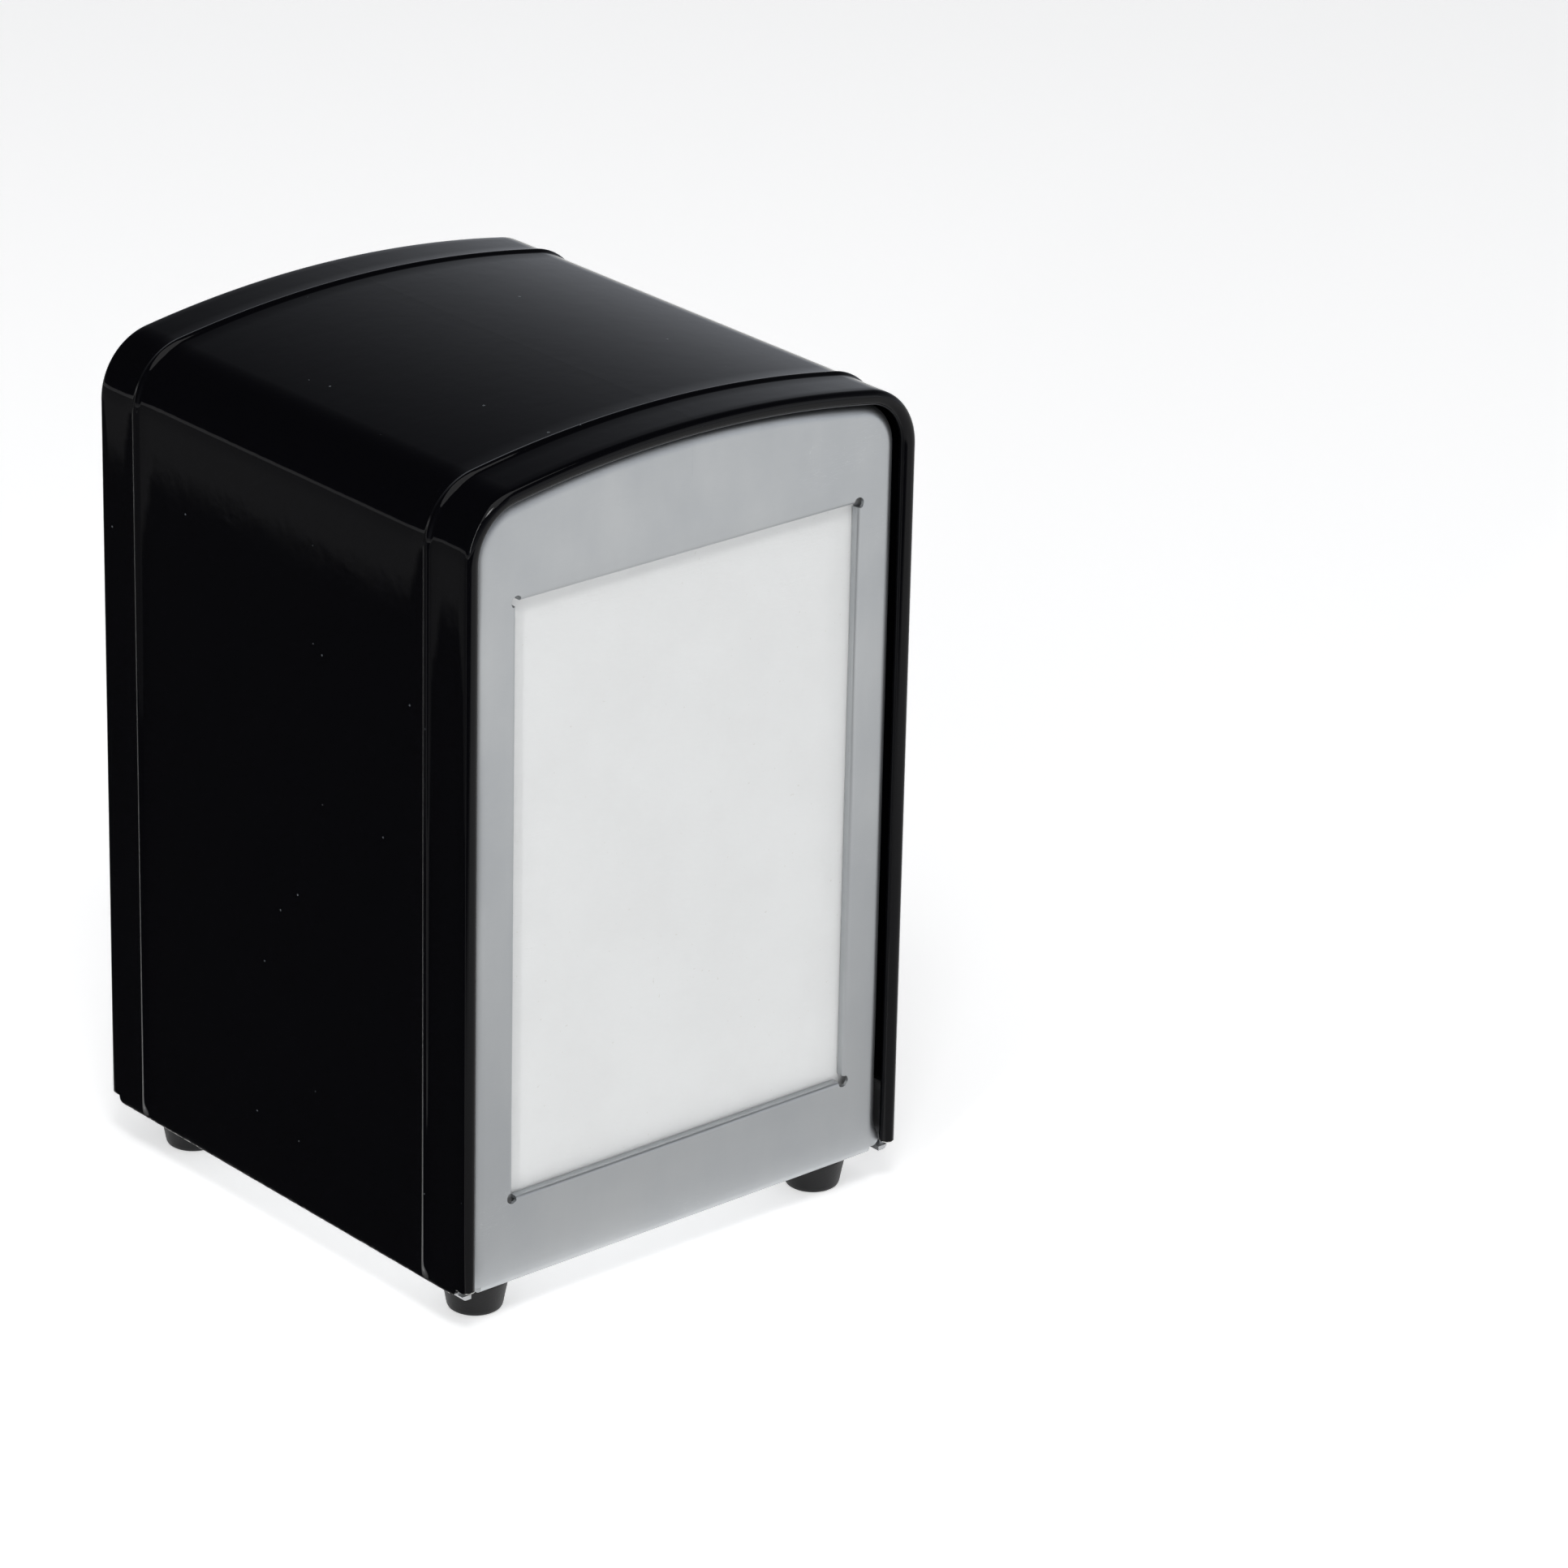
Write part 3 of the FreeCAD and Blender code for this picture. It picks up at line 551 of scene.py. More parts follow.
@dataclass(frozen=True)
class Steel:
    """Bare or plated sheet and wire steel."""

    effects: Effects
    name: str
    colour: Colour
    tint: Colour
    roughness: float
    along: tuple[float, float, float] = (900.0, 900.0, 900.0)
    grain_depth: float = 0.000004
    grain_roughness: float = 0.16
    handled: float = 0.06
    scratch: float = 0.06
    scratch_depth: float = 0.00002
    spangle: float = 0.0
    spangle_roughness: float = 0.12
    speck_colour: Colour = (0.12, 0.11, 0.10)

    def build(self) -> Material:
        """Build the finish."""
        material, net, shader = new_material(self.name)
        place = net.place()
        grain = use(net, self.effects.grain, place, Along_X=self.along[0],
                    Along_Y=self.along[1], Along_Z=self.along[2])
        marks = use(net, self.effects.handling, place, Contrast=1.0)
        specks = use(net, self.effects.dust, place, Scale=300.0, Size=0.10, Share=0.09)
        base = net.mix(marks.outputs["Mask"], self.colour, self.tint)
        rough = net.weighted((grain.outputs["Grain"], self.grain_roughness),
                             (marks.outputs["Mask"], self.handled))
        if self.spangle:
            cells = net.add("TexVoronoi", {"Vector": place, "Scale": 160.0})
            shade = net.add("SeparateColor", {"Color": cells.outputs["Color"]}).outputs["Red"]
            base = net.mix(net.math("MULTIPLY", shade, self.spangle), base,
                           tuple(value * 0.6 for value in self.colour))
            rough = net.weighted((rough, 1.0), (shade, self.spangle_roughness))
        worn = net.mix(net.math("MULTIPLY", grain.outputs["Scratch"], 0.35), base,
                       tuple(min(value * 1.3, 1.0) for value in self.colour))
        feed(net, shader,
             Base_Color=net.mix(specks.outputs["Mask"], worn, self.speck_colour),
             Roughness=net.math("ADD", rough,
                                self.roughness - (self.grain_roughness + self.handled) / 2))
        fine = net.bump(grain.outputs["Grain"], 1.0, self.grain_depth)
        feed(net, shader, Normal=net.bump(grain.outputs["Scratch"], self.scratch,
                                          self.scratch_depth, fine))
        shader.inputs["Metallic"].default_value = 1.0
        return material


@dataclass(frozen=True)
class Rubber:
    """Moulded black rubber, a little dusty and scuffed at the sole."""

    effects: Effects
    colour: Colour = (0.003, 0.003, 0.0035)
    dusty: Colour = (0.011, 0.011, 0.012)
    speck_colour: Colour = (0.03, 0.03, 0.03)
    sole_top: float = 0.0018
    grain_depth: float = 0.00003
    roughness: float = 0.40
    dusty_roughness: float = 0.20

    def build(self) -> Material:
        """Build the finish."""
        material, net, shader = new_material("foot_rubber")
        place = net.place()
        axes = net.add("SeparateXYZ", {"Vector": place})
        specks = use(net, self.effects.dust, place, Scale=900.0, Size=0.22, Share=0.12)
        marks = use(net, self.effects.handling, place, Contrast=1.1)
        sole = net.remap(axes.outputs["Z"], self.sole_top, 0.0, 0.0, 0.7)
        cover = net.math("MAXIMUM", net.math("MULTIPLY", marks.outputs["Mask"], 0.35), sole)
        base = net.mix(cover, self.colour, self.dusty)
        feed(net, shader,
             Base_Color=net.mix(specks.outputs["Mask"], base, self.speck_colour),
             Roughness=net.math("ADD", net.math("MULTIPLY", cover, self.dusty_roughness),
                                self.roughness),
             Normal=net.bump(net.noise(place, 2600.0, 2.0), 1.0, self.grain_depth))
        shader.inputs["Specular IOR Level"].default_value = 0.3
        return material


@dataclass(frozen=True)
class Tissue:
    """Soft bleached tissue with embossed crepe, loose fibre and a soft mottle of painted shade."""

    colour: Colour = (0.75, 0.757, 0.75)
    # painted shade: the darker colour of the soft mottle, standing in for the faint shading of the napkin's
    # wrinkles
    shade: Colour = (0.732, 0.737, 0.73)
    fleck_colour: Colour = (0.60, 0.59, 0.55)
    roughness: float = 0.80
    fibre_depth: float = 0.00006
    crepe_depth: float = 0.00005

    def build(self) -> Material:
        """Build the finish."""
        material, net, shader = new_material("napkin_paper")
        place = net.place()
        # painted shade: a soft cloud that darkens the paper in patches, as its wrinkles' shading would;
        # mixed into the base colour below
        painted_shade_mottle = net.noise(place, 60.0, 4.0, 0.6)
        fibre = net.noise(net.stretched(place, (700.0, 700.0, 1600.0)), 1.0, 3.0, 0.6)
        crepe = net.noise(net.stretched(place, (300.0, 600.0, 2600.0)), 1.0, 2.0)
        fleck = net.math("GREATER_THAN", net.noise(place, 1500.0, 1.0), 0.77)
        base = net.mix(net.remap(painted_shade_mottle, 0.35, 0.7), self.colour, self.shade)
        feed(net, shader,
             Base_Color=net.mix(net.math("MULTIPLY", fleck, 0.5), base, self.fleck_colour),
             Roughness=net.math("ADD", net.math("MULTIPLY", fibre, 0.15), self.roughness))
        soft = net.bump(fibre, 0.6, self.fibre_depth)
        feed(net, shader, Normal=net.bump(crepe, 0.5, self.crepe_depth, soft))
        shader.inputs["Sheen Weight"].default_value = 0.15
        return material


class Finishes:
    """Every finish on the object, by the record's slot name."""

    def __init__(self) -> None:
        """Build the shared effects, then each finish once."""
        shared = Effects.build()
        steels = (
            Steel(shared, "satin_steel", (0.52, 0.535, 0.545), (0.478, 0.496, 0.512), 0.40,
                  along=(650.0, 1500.0, 2600.0)),
            Steel(shared, "zinc_steel", (0.62, 0.63, 0.64), (0.54, 0.55, 0.56), 0.34,
                  spangle=0.35),
            Steel(shared, "spring_steel", (0.52, 0.52, 0.53), (0.45, 0.45, 0.46), 0.24,
                  along=(2000.0, 2000.0, 2000.0)),
            Steel(shared, "pusher_steel", (0.66, 0.66, 0.66), (0.60, 0.60, 0.61), 0.30,
                  along=(2600.0, 1500.0, 650.0)),
            Steel(shared, "rivet_steel", (0.58, 0.58, 0.57), (0.50, 0.50, 0.49), 0.36,
                  along=(1800.0, 1800.0, 1800.0)),
        )
        makers = {"black_enamel": Enamel(shared), **{steel.name: steel for steel in steels},
                  "foot_rubber": Rubber(shared), "napkin_paper": Tissue()}
        self.by_slot = {slot: maker.build() for slot, maker in makers.items()}

    def __getitem__(self, slot: str) -> Material:
        """Return the finish of a slot."""
        return self.by_slot[slot]


# ------------------------------------------------------------------ the outline


@dataclass(frozen=True)
class Arch:
    """The cabinet's cross-section: straight sides, round corners and a low arched top."""

    half_width: float = 47.5
    corner_reach: float = 36.0
    corner_height: float = 137.353
    corner_sweep: float = 80.01
    arch_drop: float = -67.0
    arch_sweep: float = 9.99

    def sweep(self, blank: Blank, edges: list, corner_steps: int, arch_steps: int) -> list:
        """Sweep a left-side section over the corner and up to the middle of the arch.

        Args:
            blank: The mesh being made.
            edges: The section's edges, level with the corner's centre.
            corner_steps: Segments round the corner.
            arch_steps: Segments over half the arch.

        Returns:
            The section's copies at the middle of the arch.
        """
        last = blank.spin(edges, (-self.corner_reach, 0, self.corner_height), AXIS_Y,
                          self.corner_sweep, corner_steps)
        return blank.spin(edges_in(last), (0, 0, self.arch_drop), AXIS_Y, self.arch_sweep,
                          arch_steps)

    def drop(self, blank: Blank, edges: list, levels: Sequence[float]) -> list:
        """Run a left-side section down the wall.

        Args:
            blank: The mesh being made.
            edges: The section's edges, level with the corner's centre.
            levels: The heights of the rows, from high to low.

        Returns:
            The lowest row's edges.
        """
        height = self.corner_height
        for level in levels:
            edges = blank.pull(edges, (0, 0, level - height))
            height = level
        return edges


# ------------------------------------------------------------------ the sub-assemblies


@dataclass
class Housing:
    """The enamelled sheet over the top and sides, with beads and rolled ends."""

    finishes: Finishes
    arch: Arch = Arch()
    gauge: float = 0.6
    rim_centre: float = 48.7
    rim_radius: float = 1.3
    rim_sweep: float = 290.0
    rim_bottom: float = 9.0
    wall_bottom: float = 7.8
    wall_end: float = 47.3
    wall_corner: float = 1.2
    bead_centre: float = 39.3
    bead_half: float = 1.15
    bead_height: float = 0.48
    bead_fade: tuple[float, float] = (8.3, 11.0)
    corner_steps: int = 36
    arch_steps: int = 16
    rim_steps: int = 22
    middle_pitch: float = 6.2
    wall_pitch: float = 7.9
    fine_from: float = 17.0
    fine_levels: tuple[float, ...] = (
        16.5, 15.5, 14.9, 14.3, 13.7, 13.1, 12.6, 12.1, 11.4, 10.6, 9.8, 9.3, 9.0, 8.7, 8.4,
        8.2, 8.0, 7.9, 7.8)
    end_stations: tuple[float, ...] = (
        34.8, 43.0, 45.6, 46.1, 46.5, 46.85, 47.1, 47.25, 47.3, 47.32)

    def section_stations(self) -> list[float]:
        """Return the places along Y of the skin's vertices, from rear to front."""
        stations = {self.rim_centre, 0.0, *self.end_stations}
        stations.update(step * self.middle_pitch for step in range(1, 6))
        stations.update(self.bead_centre + self.bead_half * (step / 7 - 1) * 1.02
                        for step in range(15))
        return sorted(stations | {-value for value in stations if value > 0}, reverse=True)

    def bead(self, along: float) -> float:
        """Return how far the bead stands out at a place along Y."""
        off = abs(abs(along) - self.bead_centre) / self.bead_half
        return self.bead_height * math.cos(off * math.pi / 2) ** 2 if off < 1 else 0.0

    def foot_of_wall(self, along: float) -> float:
        """Return the height of the sheet's lower edge at a place along Y."""
        over = abs(along) - (self.wall_end - self.wall_corner)
        if over <= 0:
            return self.wall_bottom
        if over >= self.wall_corner:
            return self.rim_bottom
        return self.wall_bottom + self.wall_corner - math.sqrt(self.wall_corner ** 2 - over ** 2)

    def shape(self, place: Vector) -> Vector:
        """Trim a wall vertex to the lower edge and let the beads die out above it."""
        low = self.foot_of_wall(place.y)
        out = place.x
        if place.z < self.arch.corner_height and place.x < -self.arch.half_width:
            keep = smooth_step(place.z, *self.bead_fade)
            out = -self.arch.half_width + (place.x + self.arch.half_width) * keep
        return Vector((out, place.y, max(place.z, low)))

    def build(self) -> None:
        """Build the housing and dress it."""
        blank = Blank()
        level = self.arch.corner_height
        side = -self.arch.half_width
        edges = blank.chain((side - self.bead(along), along, level)
                            for along in self.section_stations())
        centre = side + self.rim_radius
        ends = (edges[0].verts[0], edges[-1].verts[1])
        for vert, sign in zip(ends, (1, -1)):
            blank.spin([vert], (centre, sign * self.rim_centre, level), AXIS_Z,
                       -sign * self.rim_sweep, self.rim_steps)
        section = blank.bm.edges[:]
        levels = [level - self.wall_pitch * step for step in range(1, 16)]
        levels = [value for value in levels if value > self.fine_from]
        self.arch.drop(blank, section, [*levels, *self.fine_levels])
        self.arch.sweep(blank, section, self.corner_steps, self.arch_steps)
        blank.move(self.shape)
        blank.merge()
        blank.mirror()
        blank.face_out(AXIS_Z)
        blank.thicken(self.gauge)
        hang(blank.piece("housing_skin"), "cabinet", "black_enamel", self.finishes,
             "housing_shell")


@dataclass
class Faceplate:
    """One satin steel face: rolled edge, hemmed window and a curled bottom hinge."""

    finishes: Finishes
    end: End
    arch: Arch = Arch()
    gauge: float = 0.6
    inset: float = 2.8
    roll: float = 2.5
    front: float = -48.2
    flange_end: float = -44.2
    bottom: float = 8.43
    flatten: tuple[float, float] = (9.7, 13.4)
    tab_corner: float = 1.2
    window_half: float = 36.25
    window_low: float = 22.9
    window_high: float = 128.8
    fold: float = 0.7
    hem: float = 0.9
    relief: float = 1.1
    easing: float = 2.6
    hinge_along: float = -46.0
    curl_half: float = 43.15
    curl_radius: float = 1.43
    curl_sweep: float = 210.0
    side_rows: int = 26
    corner_rows: int = 14
    top_rows: int = 14
    inner_rings: int = 8
    fine_from: float = 16.0
    tab_span: float = 8.0
    easing_lean: float = 10.0
    waviness: float = 0.13
    top_swell: float = 0.20
    low_swell: float = 0.09
    dents: tuple[tuple[float, float, float, float], ...] = (
        (-40.2, 123.5, 0.16, 4.2), (39.6, 45.5, 0.10, 3.0), (-40.0, 14.5, -0.10, 3.2))

    def outer_half(self, blank: Blank) -> list[Edge]:
        """Sweep the left half of the rolled edge and lay the bottom line.

        Args:
            blank: The mesh being made.

        Returns:
            The inner boundary of the roll with the bottom line, as one open chain.
        """
        side = -(self.arch.half_width - self.inset)
        level = self.arch.corner_height
        start = self.front + self.roll
        blank.chain([(side, self.flange_end, level), (side, start, level)])
        tip = blank.bm.verts[:][-1]
        blank.spin([tip], (side + self.roll, start, level), AXIS_Z, 90, 12)
        section = blank.bm.edges[:]
        low = self.fine_from
        half_rows = self.corner_rows // 2
        levels = [level + (low - level) * step / self.side_rows
                  for step in range(1, self.side_rows + 1)]
        levels += [low + (self.bottom - low) * step / half_rows
                   for step in range(1, half_rows + 1)]
        self.arch.drop(blank, section, levels)
        self.arch.sweep(blank, section, self.corner_rows, self.top_rows)
        edge_x = side + self.roll
        turn = edge_x + self.tab_span
        points = [(edge_x + self.tab_span * step / half_rows, self.front, self.bottom)
                  for step in range(half_rows + 1)]
        points += [(turn * (1 - step / self.top_rows), self.front, self.bottom)
                   for step in range(1, self.top_rows + 1)]
        blank.chain(points)
        bmesh.ops.remove_doubles(blank.bm, verts=blank.bm.verts[:], dist=NEAR)
        return [edge for edge in blank.bm.edges if len(edge.link_faces) < 2
                and all(abs(vert.co.y - self.front) < NEAR for vert in edge.verts)
                and self.faces_window(edge)]

    def faces_window(self, edge: Edge) -> bool:
        """Return whether a boundary edge lies between the roll and the window."""
        first, second = (vert.co for vert in edge.verts)
        middle = (first + second) / 2
        if middle.z < self.bottom + NEAR:
            return middle.x > -(self.arch.half_width - self.inset - self.roll) - NEAR
        return abs(middle.x) >= NEAR or abs(first.x - second.x) >= NEAR

    def window_half_loop(self, blank: Blank) -> tuple[list, dict[str, list]]:
        """Lay the left half of the window's boundary, from the top middle to the bottom middle.

        Args:
            blank: The mesh being made.

        Returns:
            All the edges in order, and the straight ones by side.
        """
        left = -self.window_half - self.fold
        top = self.window_high + self.fold
        low = self.window_low - self.fold
        reach = math.sqrt(self.relief ** 2 - self.fold ** 2)
        swing = math.degrees(math.asin(self.fold / self.relief))
        corner = -self.window_half + reach

        def straight(start: tuple, stop: tuple, count: int) -> list[Vector]:
            """Return evenly spaced places from start to stop."""
            return [Vector(start).lerp(Vector(stop), step / count) for step in range(count + 1)]

        def arc(height: float, first: float, last: float) -> list[Vector]:
            """Return the places between two angles round a relief."""
            points = []
            for step in range(1, self.corner_rows):
                angle = math.radians(first + (last - first) * step / self.corner_rows)
                points.append(Vector((-self.window_half + self.relief * math.cos(angle),
                                      self.front, height + self.relief * math.sin(angle))))
            return points

        runs = {
            "top": straight((0, self.front, top), (corner, self.front, top), self.top_rows),
            "side": straight((left, self.front, self.window_high - reach),
                             (left, self.front, self.window_low + reach), self.side_rows),
            "low": straight((corner, self.front, low), (0, self.front, low), self.top_rows),
        }
        points = (runs["top"] + arc(self.window_high, swing, 270 - swing)
                  + runs["side"] + arc(self.window_low, 90 + swing, 360 - swing) + runs["low"])
        edges = blank.chain(points)
        first = self.top_rows
        second = first + self.corner_rows
        third = second + self.side_rows
        fourth = third + self.corner_rows
        sides = {"top": edges[:first], "side": edges[second:third], "low": edges[fourth:]}
        return edges, sides

    def easing_half_loop(self, blank: Blank) -> list[Edge]:
        """Lay the left half of a loop a little outside the window, with simpler corners.

        Args:
            blank: The mesh being made.

        Returns:
            The loop's edges, as many and in the same order as the window's.
        """
        lean = math.radians(self.easing_lean)
        near = self.easing * math.sin(lean)
        far = self.easing * math.cos(lean)
        counts = ((self.top_rows, None), (self.corner_rows, self.window_high),
                  (self.side_rows, None), (self.corner_rows, self.window_low),
                  (self.top_rows, None))
        stops = [(0, self.window_high + far),
                 (-self.window_half + near, self.window_high + far),
                 (-self.window_half - far, self.window_high - near),
                 (-self.window_half - far, self.window_low + near),
                 (-self.window_half + near, self.window_low - far),
                 (0, self.window_low - far)]
        points = [(stops[0][0], self.front, stops[0][1])]
        for (count, height), start, stop in zip(counts, stops, stops[1:]):
            for step in range(1, count + 1):
                across, level = (first + (last - first) * step / count
                                 for first, last in zip(start, stop))
                if height is not None:
                    away = Vector((across + self.window_half, 0, level - height))
                    away = away.normalized() * self.easing
                    across, level = -self.window_half + away.x, height + away.z
                points.append((across, self.front, level))
        return blank.chain(points)

    def hems(self, blank: Blank, sides: dict[str, list]) -> None:
        """Fold the window's straight edges in over a small radius."""
        deep = self.front + self.fold
        folds = {
            "side": ((-self.window_half - self.fold, deep, 0), AXIS_Z, 90),
            "top": ((0, deep, self.window_high + self.fold), AXIS_X, 90),
            "low": ((0, deep, self.window_low - self.fold), AXIS_X, -90),
        }
        for name, (centre, axis, turn) in folds.items():
            last = blank.spin(sides[name], centre, axis, turn, 6)
            blank.pull(edges_in(last), (0, self.hem, 0))

    def curl(self, blank: Blank) -> None:
        """Roll the bottom edge under and round the hinge wire."""
        edges = [edge for edge in blank.bm.edges if len(edge.link_faces) == 1
                 and all(vert.co.z < self.bottom + NEAR and vert.co.x > -self.curl_half
                         and abs(vert.co.y - self.front) < 0.05 for vert in edge.verts)]
        last = blank.spin(edges, (0, self.front + self.curl_radius, self.bottom), AXIS_X, 90, 8)
        shift = self.hinge_along - self.front - self.curl_radius
        edges = blank.pull(edges_in(last), (0, shift, 0))
        blank.spin(edges, (0, self.hinge_along, self.bottom), AXIS_X, self.curl_sweep, 18)

    def flat_tab(self, place: Vector) -> Vector:
        """Open the rolled edge out flat at the bottom corner, and round the corner."""
        side = -(self.arch.half_width - self.inset - self.roll)
        if place.x > side + NEAR or place.z > self.flatten[1]:
            return place
        share = smooth_step(place.z, *self.flatten)
        along = self.front + (place.y - self.front) * share
        over = -(self.arch.half_width - self.inset) + self.tab_corner - place.x
        low = place.z
        if over > 0:
            lift = self.tab_corner - math.sqrt(max(self.tab_corner ** 2 - over ** 2, 0.0))
            low = max(low, self.bottom + lift)
        return Vector((place.x, along, low))

    def press(self, place: Vector) -> Vector:
        """Add the soft swell beside the folds, a few dents and the sheet's slight waviness."""
        flatness = smooth_step(self.front + 0.3 - place.y, 0.0, 0.25)
        if flatness <= 0:
            return place
        seed = 3.0 if self.end is End.FRONT else 17.0
        inside = smooth_step(place.z, self.bottom + 0.5, self.bottom + 6.0)
        top = hump(place.z - self.window_high - 3.6, 2.3) * smooth_step(34 - abs(place.x), 0, 7)
        uneven = 0.75 + 0.5 * noise.noise(Vector((place.x * 0.06, seed, 1.0)))
        low = hump(place.z - self.window_low + 3.8, 2.2) * smooth_step(33 - abs(place.x), 0, 7)
        swell = -self.top_swell * top * uneven - self.low_swell * low
        for across, level, depth, spread in self.dents:
            swell += depth * hump(math.hypot(place.x - across, place.z - level), spread)
        wave = noise.noise(Vector((place.x * 0.035, seed, place.z * 0.03))) * self.waviness
        return place + Vector((0, (swell + wave * inside) * flatness * inside, 0))

    def build(self) -> None:
        """Build the face and dress it."""
        blank = Blank()
        outer = self.outer_half(blank)
        inner, sides = self.window_half_loop(blank)
        if len(outer) != len(inner):
            raise ValueError(f"faceplate chains differ: {len(outer)} and {len(inner)}")
        easing = self.easing_half_loop(blank)
        for edges, cuts in ((outer + easing, self.inner_rings), (easing + inner, 3)):
            bridge = bmesh.ops.bridge_loops(blank.bm, edges=edges)
            bmesh.ops.subdivide_edges(blank.bm, edges=bridge["edges"], cuts=cuts,
                                      use_grid_fill=True)
        self.hems(blank, sides)
        blank.move(self.flat_tab)
        blank.merge(0.002)
        self.curl(blank)
        blank.mirror()
        blank.move(self.press)
        blank.face_out(-AXIS_Y)
        blank.thicken(self.gauge)
        name = self.end.value
        hang(blank.piece(f"{name}_face_sheet", self.end), f"{name}_face", "satin_steel",
             self.finishes, f"{name}_faceplate")


@dataclass
class NapkinStack:
    """One magazine of folded napkins, pressed towards its window by the pusher."""

    finishes: Finishes
    end: End
    half: float = 43.3
    low: float = 11.1
    height: float = 126.6
    front: float = -46.4
    rear: float = -14.05
    window_half: float = 36.0
    window_low: float = 23.0
    window_high: float = 128.7
    count: int = 22
    gap: float = 0.10
    swell: float = 0.35
    margin: float = 0.9
    slip: float = 0.28
    lift: float = 0.5
    raggedness: float = 0.35
    edge_round: float = 0.42

    def crumple(self, across: float, up: float) -> float:
        """Return how far the front napkin's surface is off flat, in millimetres."""
        wide = noise.noise(Vector((across * 0.03, 5.1, up * 0.03))) * 0.30
        folds = noise.noise(Vector((across * 0.10, 9.7, up * 0.07)))
        crease = abs(noise.noise(Vector((across * 0.045, 2.3, up * 0.05))))
        return wide + folds * 0.10 - hump(crease, 0.06) * 0.10

    def sheet(self, blank: Blank, index: int, rng: random.Random) -> None:
        """Add one folded napkin.

        Args:
            blank: The mesh being made.
            index: Its place in the stack, 0 at the window.
            rng: The stack's own random source.
        """
        pitch = (self.rear - self.front) / self.count
        thick = pitch - self.gap
        fine = index == 0
        columns, rows = (56, 80) if fine else (14, 20)
        made = bmesh.ops.create_grid(blank.bm, x_segments=columns, y_segments=rows, size=0.5)
        verts = made["verts"]
        faces = list({face for vert in verts for face in vert.link_faces})
        shift_x, shift_z = rng.uniform(-self.slip, self.slip), rng.uniform(0.0, self.lift)
        seed = rng.uniform(0, 50)
        bmesh.ops.rotate(blank.bm, verts=verts, cent=(0, 0, 0),
                         matrix=Matrix.Rotation(math.pi / 2, 3, "X"))
        back = self.front + index * pitch + thick
        for vert in verts:
            across, up = vert.co.x, vert.co.z
            edge_x = noise.noise(Vector((seed, up * 3.0, 0.0))) * self.raggedness
            edge_z = noise.noise(Vector((across * 3.0, seed, 4.0))) * self.raggedness
            vert.co = Vector((
                across * 2 * (self.half - self.margin) + shift_x + edge_x * abs(across) * 2,
                back,
                self.low + self.margin + (up + 0.5) * (self.height - 2 * self.margin)
                + (shift_z + edge_z) * (up + 0.5)))
        outer = verts_in(bmesh.ops.extrude_face_region(blank.bm, geom=faces)["geom"])
        for vert in outer:
            vert.co.y -= thick
        rim = [edge for vert in outer for edge in vert.link_edges]
        sharp = list({edge for edge in rim if edge.calc_face_angle(0) > 1.0})
        far = [edge for vert in verts if vert.is_valid for edge in vert.link_edges
               if edge.calc_face_angle(0) > 1.0 and edge not in sharp]
        bmesh.ops.bevel(blank.bm, geom=sharp + list(set(far)), segments=3, profile=0.5,
                        offset=thick * self.edge_round, affect="EDGES", material=-1,
                        clamp_overlap=True)

    def relax(self, place: Vector) -> Vector:
        """Crumple the front of the stack, less and less towards the pusher."""
        depth = (place.y - self.front) / (self.rear - self.front)
        fade = max(0.0, 1.0 - depth * 1.6)
        inner = smooth_step(self.window_half - abs(place.x), 0.2, 6.0)
        inner *= smooth_step(place.z - self.window_low, 0.2, 6.0)
        inner *= smooth_step(self.window_high - place.z, 0.2, 6.0)
        off = self.crumple(place.x, place.z) * fade * (0.12 + 0.88 * inner)
        return place + Vector((0, off - self.swell * inner * fade, 0))

    def build(self) -> None:
        """Build the stack, dress it and let it be squeezed by the pusher."""
        name = self.end.value
        rng = random.Random(11 if self.end is End.FRONT else 29)
        blank = Blank()
        for index in range(self.count):
            self.sheet(blank, index, rng)
        blank.move(self.relax)
        bmesh.ops.recalc_face_normals(blank.bm, faces=blank.bm.faces[:])
        item = hang(blank.piece(f"{name}_napkins", self.end, crease=60), "", "napkin_paper",
                    self.finishes, f"{name}_napkin_stack")
        start, stop = self.end.sign * self.front * MM, self.end.sign * self.rear * MM
        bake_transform(item, "cabinet", f"{name}_pusher", (0, start, 0), (0, stop, 0))
        share = item.data.attributes["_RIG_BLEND"]
        for point, vert in zip(share.data, item.data.vertices):
            point.value = min(max((vert.co.y - start) / (stop - start), 0.0), 1.0)


